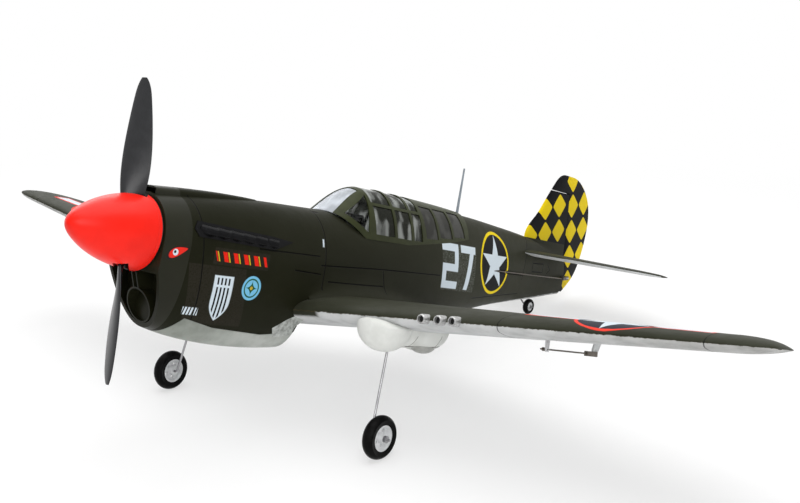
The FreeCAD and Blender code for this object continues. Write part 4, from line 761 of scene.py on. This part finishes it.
# Sliding hood: light patches are painted reflections, dark patches painted shade of the cockpit
# behind.
side_pane = pane("side_pane", (0.50, 0.52, 0.50), (0.035, 0.038, 0.028), 0.55, 17.0)
smoked_pane = pane("smoked_pane", (0.062, 0.062, 0.057), (0.036, 0.036, 0.032), 0.0, 14.0)
SIDE_FRONT, SMOKED_FRONT = 347.0, 436.0     # where the side and the smoky panes start
SCREEN_HALF = 15.5                          # half width of the windscreen
glazing = SKINS["canopy_glazing"].data
glazing.materials.clear()
for finish in (screen_pane, quarter_pane, side_pane, smoked_pane):
    glazing.materials.append(finish.material)
middles = np.empty(len(glazing.polygons) * 3, np.float32)
glazing.polygons.foreach_get("center", middles)
middles = to_plane(middles.reshape(-1, 3))
zone = 1 + np.digitize(middles[:, 1], [SIDE_FRONT, SMOKED_FRONT]).astype(np.int32)
zone[(zone == 1) & (abs(middles[:, 0]) < SCREEN_HALF)] = 0
glazing.polygons.foreach_set("material_index", zone)
print("faces of screen, quarter, side and smoked panes", np.bincount(zone))

# %% [markdown]
# ## Surfaces from two numbers
# The last pieces are drawn here rather than taken from the solids.  Each is a sheet of points: one
# number runs along the piece and the other around it.  Numpy works out all the points at once, and
# every cell of the sheet becomes two triangles.  Closing each ring and pinching both ends to a
# point gives a shell without holes, and Blender then turns all its faces outwards.
# %% From rings to a closed piece
def capped(rings):
    """Rings of points, each closed round, with the middle of the first and last as poles."""
    rings = np.concatenate([rings, rings[:, :1]], axis=1)
    poles = np.repeat(rings[[0, -1]].mean(axis=1, keepdims=True), rings.shape[1], axis=1)
    return np.concatenate([poles[:1], rings, poles[1:]])


def grid_triangles(rows, columns):
    """Two triangles for every cell of a sheet of points, rows by columns."""
    index = np.arange(rows * columns).reshape(rows, columns)
    a, b, c, d = (corner.ravel() for corner in
                  (index[:-1, :-1], index[1:, :-1], index[1:, 1:], index[:-1, 1:]))
    return np.concatenate([np.stack([a, b, c], axis=1), np.stack([a, c, d], axis=1)])


def shell(name, sheets, finish, nodes=(), angle=40.0):
    """One piece on the airframe from closed sheets of points in the aeroplane's axes."""
    starts = np.cumsum([0] + [sheet.shape[0] * sheet.shape[1] for sheet in sheets])
    triangles = np.concatenate([grid_triangles(*sheet.shape[:2]) + start
                                for sheet, start in zip(sheets, starts)])
    points = np.concatenate([to_room(sheet.reshape(-1, 3)) for sheet in sheets])
    mesh = merged_mesh(name, points, triangles, angle)
    faces = bmesh.new()
    faces.from_mesh(mesh)
    bmesh.ops.recalc_face_normals(faces, faces=faces.faces[:])
    faces.to_mesh(mesh)
    faces.free()
    mesh.set_sharp_from_angle(angle=math.radians(angle))
    obj = stand_in(name, mesh, frame["nodes"]["fuselage"]["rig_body"], nodes)
    finish.paint(obj)
    return obj


def lathe(centre, along, radius, turns=48):
    """Rings round the fore-and-aft line through centre: radius[i] at centre + along[i] aft."""
    angle = np.linspace(0, 2 * math.pi, turns, endpoint=False)
    rings = np.empty((len(along), turns, 3))
    rings[..., 0] = centre[0] + np.outer(radius, np.cos(angle))
    rings[..., 1] = centre[1] + np.asarray(along, float)[:, None]
    rings[..., 2] = centre[2] + np.outer(radius, np.sin(angle))
    return capped(rings)


print("one cell gives", len(grid_triangles(2, 2)), "triangles")

# %% [markdown]
# ## Wheel fairings
# Each undercarriage fairing is three forms in one: a round bulb at the front, a dome at the rear
# and a shallow barrel between them.  The radius at each station is the largest of the three, so
# that the creases between them appear by themselves.  The top is pressed flat, inside the wing.
# The moulded edge of a folded wheel shows below the barrel.
# %% Bulb, barrel, dome and folded wheel
FAIRING_X, FAIRING_Z = 135.0, -47.0
FAIRING_FLAT = 6.5           # how far the fairing reaches up into the wing
FAIRING_SPAN = (239.0, 360.0)
# middle aft, half length, radius and roundness of bulb, barrel and dome
FAIRING_FORMS = ((268.0, 29.0, 23.8, 2.0), (305.0, 51.0, 18.9, 6.0), (323.7, 36.2, 21.3, 2.3))


def fairing_sheet(side):
    """Radius = largest of three ovals radius * sqrt(1 - |t|^n); the upper half pressed flat."""
    front, rear = FAIRING_SPAN
    aft = (front + rear) / 2 - (rear - front) / 2 * np.cos(np.linspace(0, math.pi, 121))
    radius = np.max([r * np.sqrt(np.clip(1 - abs((aft - middle) / half) ** n, 0, 1))
                     for middle, half, r, n in FAIRING_FORMS], axis=0)
    angle = np.linspace(0, 2 * math.pi, 64, endpoint=False)
    high = np.where(np.sin(angle) > 0, np.minimum(radius, FAIRING_FLAT)[:, None], radius[:, None])
    rings = np.empty((len(aft), len(angle), 3))
    rings[..., 0] = side * (FAIRING_X + np.outer(radius, np.cos(angle)))
    rings[..., 1] = aft[:, None]
    rings[..., 2] = FAIRING_Z + high * np.sin(angle)
    return capped(rings)


BULGE_CENTRE = np.array([143.0, 321.0, -62.0])
BULGE_RADII = np.array([7.5, 18.0, 7.4])


def bulge_sheet(side):
    """An ellipsoid half sunk in the barrel: centre plus three radii times a unit sphere."""
    up = np.linspace(0, math.pi, 26)[1:-1]
    angle = np.linspace(0, 2 * math.pi, 40, endpoint=False)
    ball = np.empty((len(up), len(angle), 3))
    ball[..., 0] = np.outer(np.sin(up), np.cos(angle))
    ball[..., 1] = np.outer(np.sin(up), np.sin(angle))
    ball[..., 2] = np.cos(up)[:, None]
    return capped(ball * BULGE_RADII + BULGE_CENTRE * (side, 1, 1))


# The folded wheel is painted mid grey, much darker than the fairing: painted shade under the
# barrel.
bulge_shade_grey = plain_finish("bulge_shade_grey", (0.40, 0.40, 0.38), (0.30, 0.30, 0.28), 0.45, 8.0)
for side, word in ((1, "left"), (-1, "right")):
    shell("fairing_form_" + word, [fairing_sheet(side)], fairing_paint, ["gear_fairing_" + word])
    shell("folded_wheel_" + word, [bulge_sheet(side)], bulge_shade_grey)
print("fairing stations", fairing_sheet(1).shape)

# %% [markdown]
# ## Guns
# Three short tubes stand out of each leading edge.  A tube is a profile spun round its own line:
# out along the outside, over a rounded lip and back down the bore.  The lip catches the light.
# %% Six muzzles
GUN_STATIONS = (186.0, 203.0, 217.5)        # out along the span
GUN_RAISE = 0.8              # above the chord line
GUN_PROFILE = np.array([(10.0, 4.5), (2.0, 4.7), (-4.0, 4.7), (-6.6, 4.4), (-7.6, 3.7),
                        (-7.4, 3.1), (-6.0, 2.8), (-1.0, 2.7)])     # aft of the edge, radius
BORE_PROFILE = np.array([(-4.4, 2.75), (-3.6, 2.75)])


def edge_point(side, out):
    """The wing's leading edge: straight, 33 mm of sweep and 55 mm of rise in 445 mm."""
    return side * out, 244.0 + out * 33.0 / 445.0, -55.2 + 0.124 * out + GUN_RAISE


def gun_sheets(profile, turns):
    """The same profile at each of the six guns."""
    return [lathe(edge_point(side, out), *profile.T, turns)
            for side in (1, -1) for out in GUN_STATIONS]


muzzle_steel = plain_finish("muzzle_steel", (0.52, 0.52, 0.52), (0.30, 0.30, 0.29), 0.22, 2.5,
                            metal=0.6)
shell("gun_muzzles", gun_sheets(GUN_PROFILE, 32), muzzle_steel, ["gun_barrels"])
shell("gun_bores", gun_sheets(BORE_PROFILE, 24), cockpit_black)
print("guns", 2 * len(GUN_STATIONS))

# %% [markdown]
# ## Cooling flaps
# Behind the belly of the nose a ruffled skirt lets the cooling air out.  It follows the side of
# the body and lifts off it in three waves.  The side is the same rounded section as the fuselage:
# half width times (1 - r^2.2)^(1/2.2), where r is the depth below the widest point.
# %% Ruffled skirt
BODY_HALF, BODY_WIDEST, BODY_DEPTH = 42.0, -8.0, 86.5
FIXED_EDGE = ((0, 0.5, 1), (230.0, 244.0, 259.5), (-71.0, -61.5, -54.0))    # share, aft, up
FREE_EDGE = ((0, 0.45, 0.7, 1), (237.0, 254.0, 260.0, 266.0), (-80.0, -78.0, -66.0, -54.5))
FLAP_WAVES, FLAP_LIFT, FLAP_WALL = 3, 2.6, 1.1


def edge_line(share, edge):
    """Aft and up on a line with a few corners, by the share of its length."""
    return np.stack([np.interp(share, edge[0], edge[1]), np.interp(share, edge[0], edge[2])])


def flap_sheet(side):
    """A band between two lines on the body's side, lifted by |sin| waves towards its free edge."""
    u = np.linspace(0, 1, 49)[:, None]
    across = np.linspace(0, 1, 7)
    v = np.concatenate([across, across[::-1]])[None, :]
    fixed = edge_line(u, FIXED_EDGE)
    aft, up = fixed + (edge_line(u, FREE_EDGE) - fixed) * v
    depth = np.clip((BODY_WIDEST - up) / BODY_DEPTH, 0, 0.98)
    out = BODY_HALF * (1 - depth ** 2.2) ** (1 / 2.2)
    lift = (0.7 + FLAP_LIFT * abs(np.sin(FLAP_WAVES * math.pi * u))) * v + 0.3
    inner = np.repeat([0.0, FLAP_WALL], len(across))[None, :]
    rings = np.stack([side * (out + lift - inner), aft + 0 * out, up + 0 * out], axis=-1)
    return capped(rings)


# Light grey with dark patches laid in by noise; the dark patches are painted shade on the ruffled
# skirt.
flap_grey_and_shade = plain_finish("flap_grey_and_shade", (0.50, 0.52, 0.50), (0.16, 0.17, 0.15), 0.4, 5.0)
shell("cooling_flaps", [flap_sheet(1), flap_sheet(-1)], flap_grey_and_shade)
print("skirt points", flap_sheet(1).shape)

# %% [markdown]
# ## Camera
# The lens stands ahead of the left wing, a little above the nose, and looks back along the model.
# %% Camera
LENS_SPOT = np.array([803.8, -595.6, 39.9])     # in the aeroplane's axes
YAW, PITCH, ROLL = math.radians(37.70), math.radians(-0.87), math.radians(10.41)
FILM_WIDTH = 36.0
FOCAL = 53.26065             # mm, a normal lens on that width of film
ahead = np.array([-math.sin(YAW) * math.cos(PITCH), math.cos(YAW) * math.cos(PITCH),
                  math.sin(PITCH)])
right = np.cross(ahead, [0, 0, 1.0])
right /= np.linalg.norm(right)
high = np.cross(right, ahead)
turned_right = math.cos(ROLL) * right + math.sin(ROLL) * high
turned_high = -math.sin(ROLL) * right + math.cos(ROLL) * high
axes = np.stack([TURN @ turned_right, TURN @ turned_high, TURN @ -ahead], axis=1)
lens = bpy.data.cameras.new("lens")
lens.lens = FOCAL
lens.sensor_width = FILM_WIDTH
lens.clip_start = 0.01
camera = bpy.data.objects.new("camera", lens)
place = np.eye(4)
place[:3, :3], place[:3, 3] = axes, to_room(LENS_SPOT)
camera.matrix_world = Matrix(place.tolist())
bpy.context.scene.collection.objects.link(camera)
bpy.context.scene.camera = camera
print("camera at", np.round(place[:3, 3], 3), "lens", round(FOCAL, 2))

# %% [markdown]
# ## Studio
# A pale table runs up into a pale backdrop.  The table is a real surface that takes the shadow of
# the model, and rays that the camera, a reflection or a clear pane send past it see plain white.
# Three large soft lamps light the object from above, the left and behind.
# %% Floor, sky and lamps
SHADOW_DEPTH = 0.42          # how much of the real light and shade on the table is seen
SKY_LIGHT = 0.45             # strength of the sky as a lamp
TABLE_HALF = 6.0             # half the table's width, metres
FADE = (1.15, 0.45)          # the table turns plain white about this far from the model


def rays_that_look(tree):
    """1 for rays from the camera, from a reflection or through a clear pane."""
    path = tree.nodes.new("ShaderNodeLightPath")
    look = Field(tree, path.outputs["Is Camera Ray"])
    for name in ("Is Glossy Ray", "Is Transmission Ray"):
        look = look | Field(tree, path.outputs[name])
    return look


def pale_floor():
    """A large plane: soft shadows near the model, fading to plain white away from it."""
    half = TABLE_HALF
    mesh = bpy.data.meshes.new("table")
    mesh.from_pydata([(-half, -half, 0), (half, -half, 0), (half, half, 0), (-half, half, 0)], [],
                     [(0, 1, 2, 3)])
    obj = bpy.data.objects.new("table", mesh)
    bpy.context.scene.collection.objects.link(obj)
    material = bpy.data.materials.new("table_white")
    material.use_nodes = True
    tree = material.node_tree
    shader = tree.nodes["Principled BSDF"]
    shader.inputs["Base Color"].default_value = (0.93, 0.93, 0.93, 1)
    shader.inputs["Roughness"].default_value = 0.6
    shader.inputs["Specular IOR Level"].default_value = 0.1
    clear = tree.nodes.new("ShaderNodeEmission")
    shadowed = tree.nodes.new("ShaderNodeMixShader")
    shadowed.inputs[0].default_value = SHADOW_DEPTH
    tree.links.new(clear.outputs[0], shadowed.inputs[1])
    tree.links.new(shader.outputs[0], shadowed.inputs[2])
    spot = tree.nodes.new("ShaderNodeTexCoord")
    away = tree.nodes.new("ShaderNodeVectorMath")
    away.operation = "LENGTH"
    tree.links.new(spot.outputs["Object"], away.inputs[0])
    far = Field(tree, away.outputs["Value"]).more(*FADE)
    faded = tree.nodes.new("ShaderNodeMixShader")
    tree.links.new(far.output, faded.inputs[0])
    tree.links.new(shadowed.outputs[0], faded.inputs[1])
    tree.links.new(clear.outputs[0], faded.inputs[2])
    mix = tree.nodes.new("ShaderNodeMixShader")
    tree.links.new(rays_that_look(tree).output, mix.inputs[0])
    tree.links.new(shader.outputs[0], mix.inputs[1])
    tree.links.new(faded.outputs[0], mix.inputs[2])
    tree.links.new(mix.outputs[0], tree.nodes["Material Output"].inputs["Surface"])
    mesh.materials.append(material)


def white_sky(light):
    """World colour: white where the camera, gloss or glass looks, dimmer as a light source."""
    world = bpy.data.worlds.new("sky")
    world.use_nodes = True
    tree = world.node_tree
    back = tree.nodes["Background"]
    strength = tree.nodes.new("ShaderNodeMapRange")
    strength.inputs["To Min"].default_value = light
    strength.inputs["To Max"].default_value = 1.0
    tree.links.new(rays_that_look(tree).output, strength.inputs["Value"])
    tree.links.new(strength.outputs[0], back.inputs["Strength"])
    back.inputs["Color"].default_value = (1, 1, 1, 1)
    bpy.context.scene.world = world


def soft_lamp(name, spot, aim, size, power):
    """A square area lamp at spot that faces aim."""
    data = bpy.data.lights.new(name, "AREA")
    data.size = size
    data.energy = power
    obj = bpy.data.objects.new(name, data)
    spot, aim = np.array(spot, float), np.array(aim, float)
    back = (spot - aim) / np.linalg.norm(spot - aim)
    side = np.cross([0, 1, 0.001], back)
    side /= np.linalg.norm(side)
    matrix = np.eye(4)
    matrix[:3, :3] = np.stack([side, np.cross(back, side), back], axis=1)
    matrix[:3, 3] = spot
    obj.matrix_world = Matrix(matrix.tolist())
    bpy.context.scene.collection.objects.link(obj)


pale_floor()
white_sky(SKY_LIGHT)
soft_lamp("top_lamp", (0.2, 0.1, 2.2), (0, 0, 0.15), 2.4, 38.0)
soft_lamp("front_lamp", (1.6, -1.8, 1.3), (0, -0.1, 0.15), 1.4, 22.0)
soft_lamp("far_lamp", (-1.8, 0.6, 1.5), (0, 0, 0.15), 1.6, 16.0)
scene = bpy.context.scene
scene.view_settings.view_transform = "Standard"
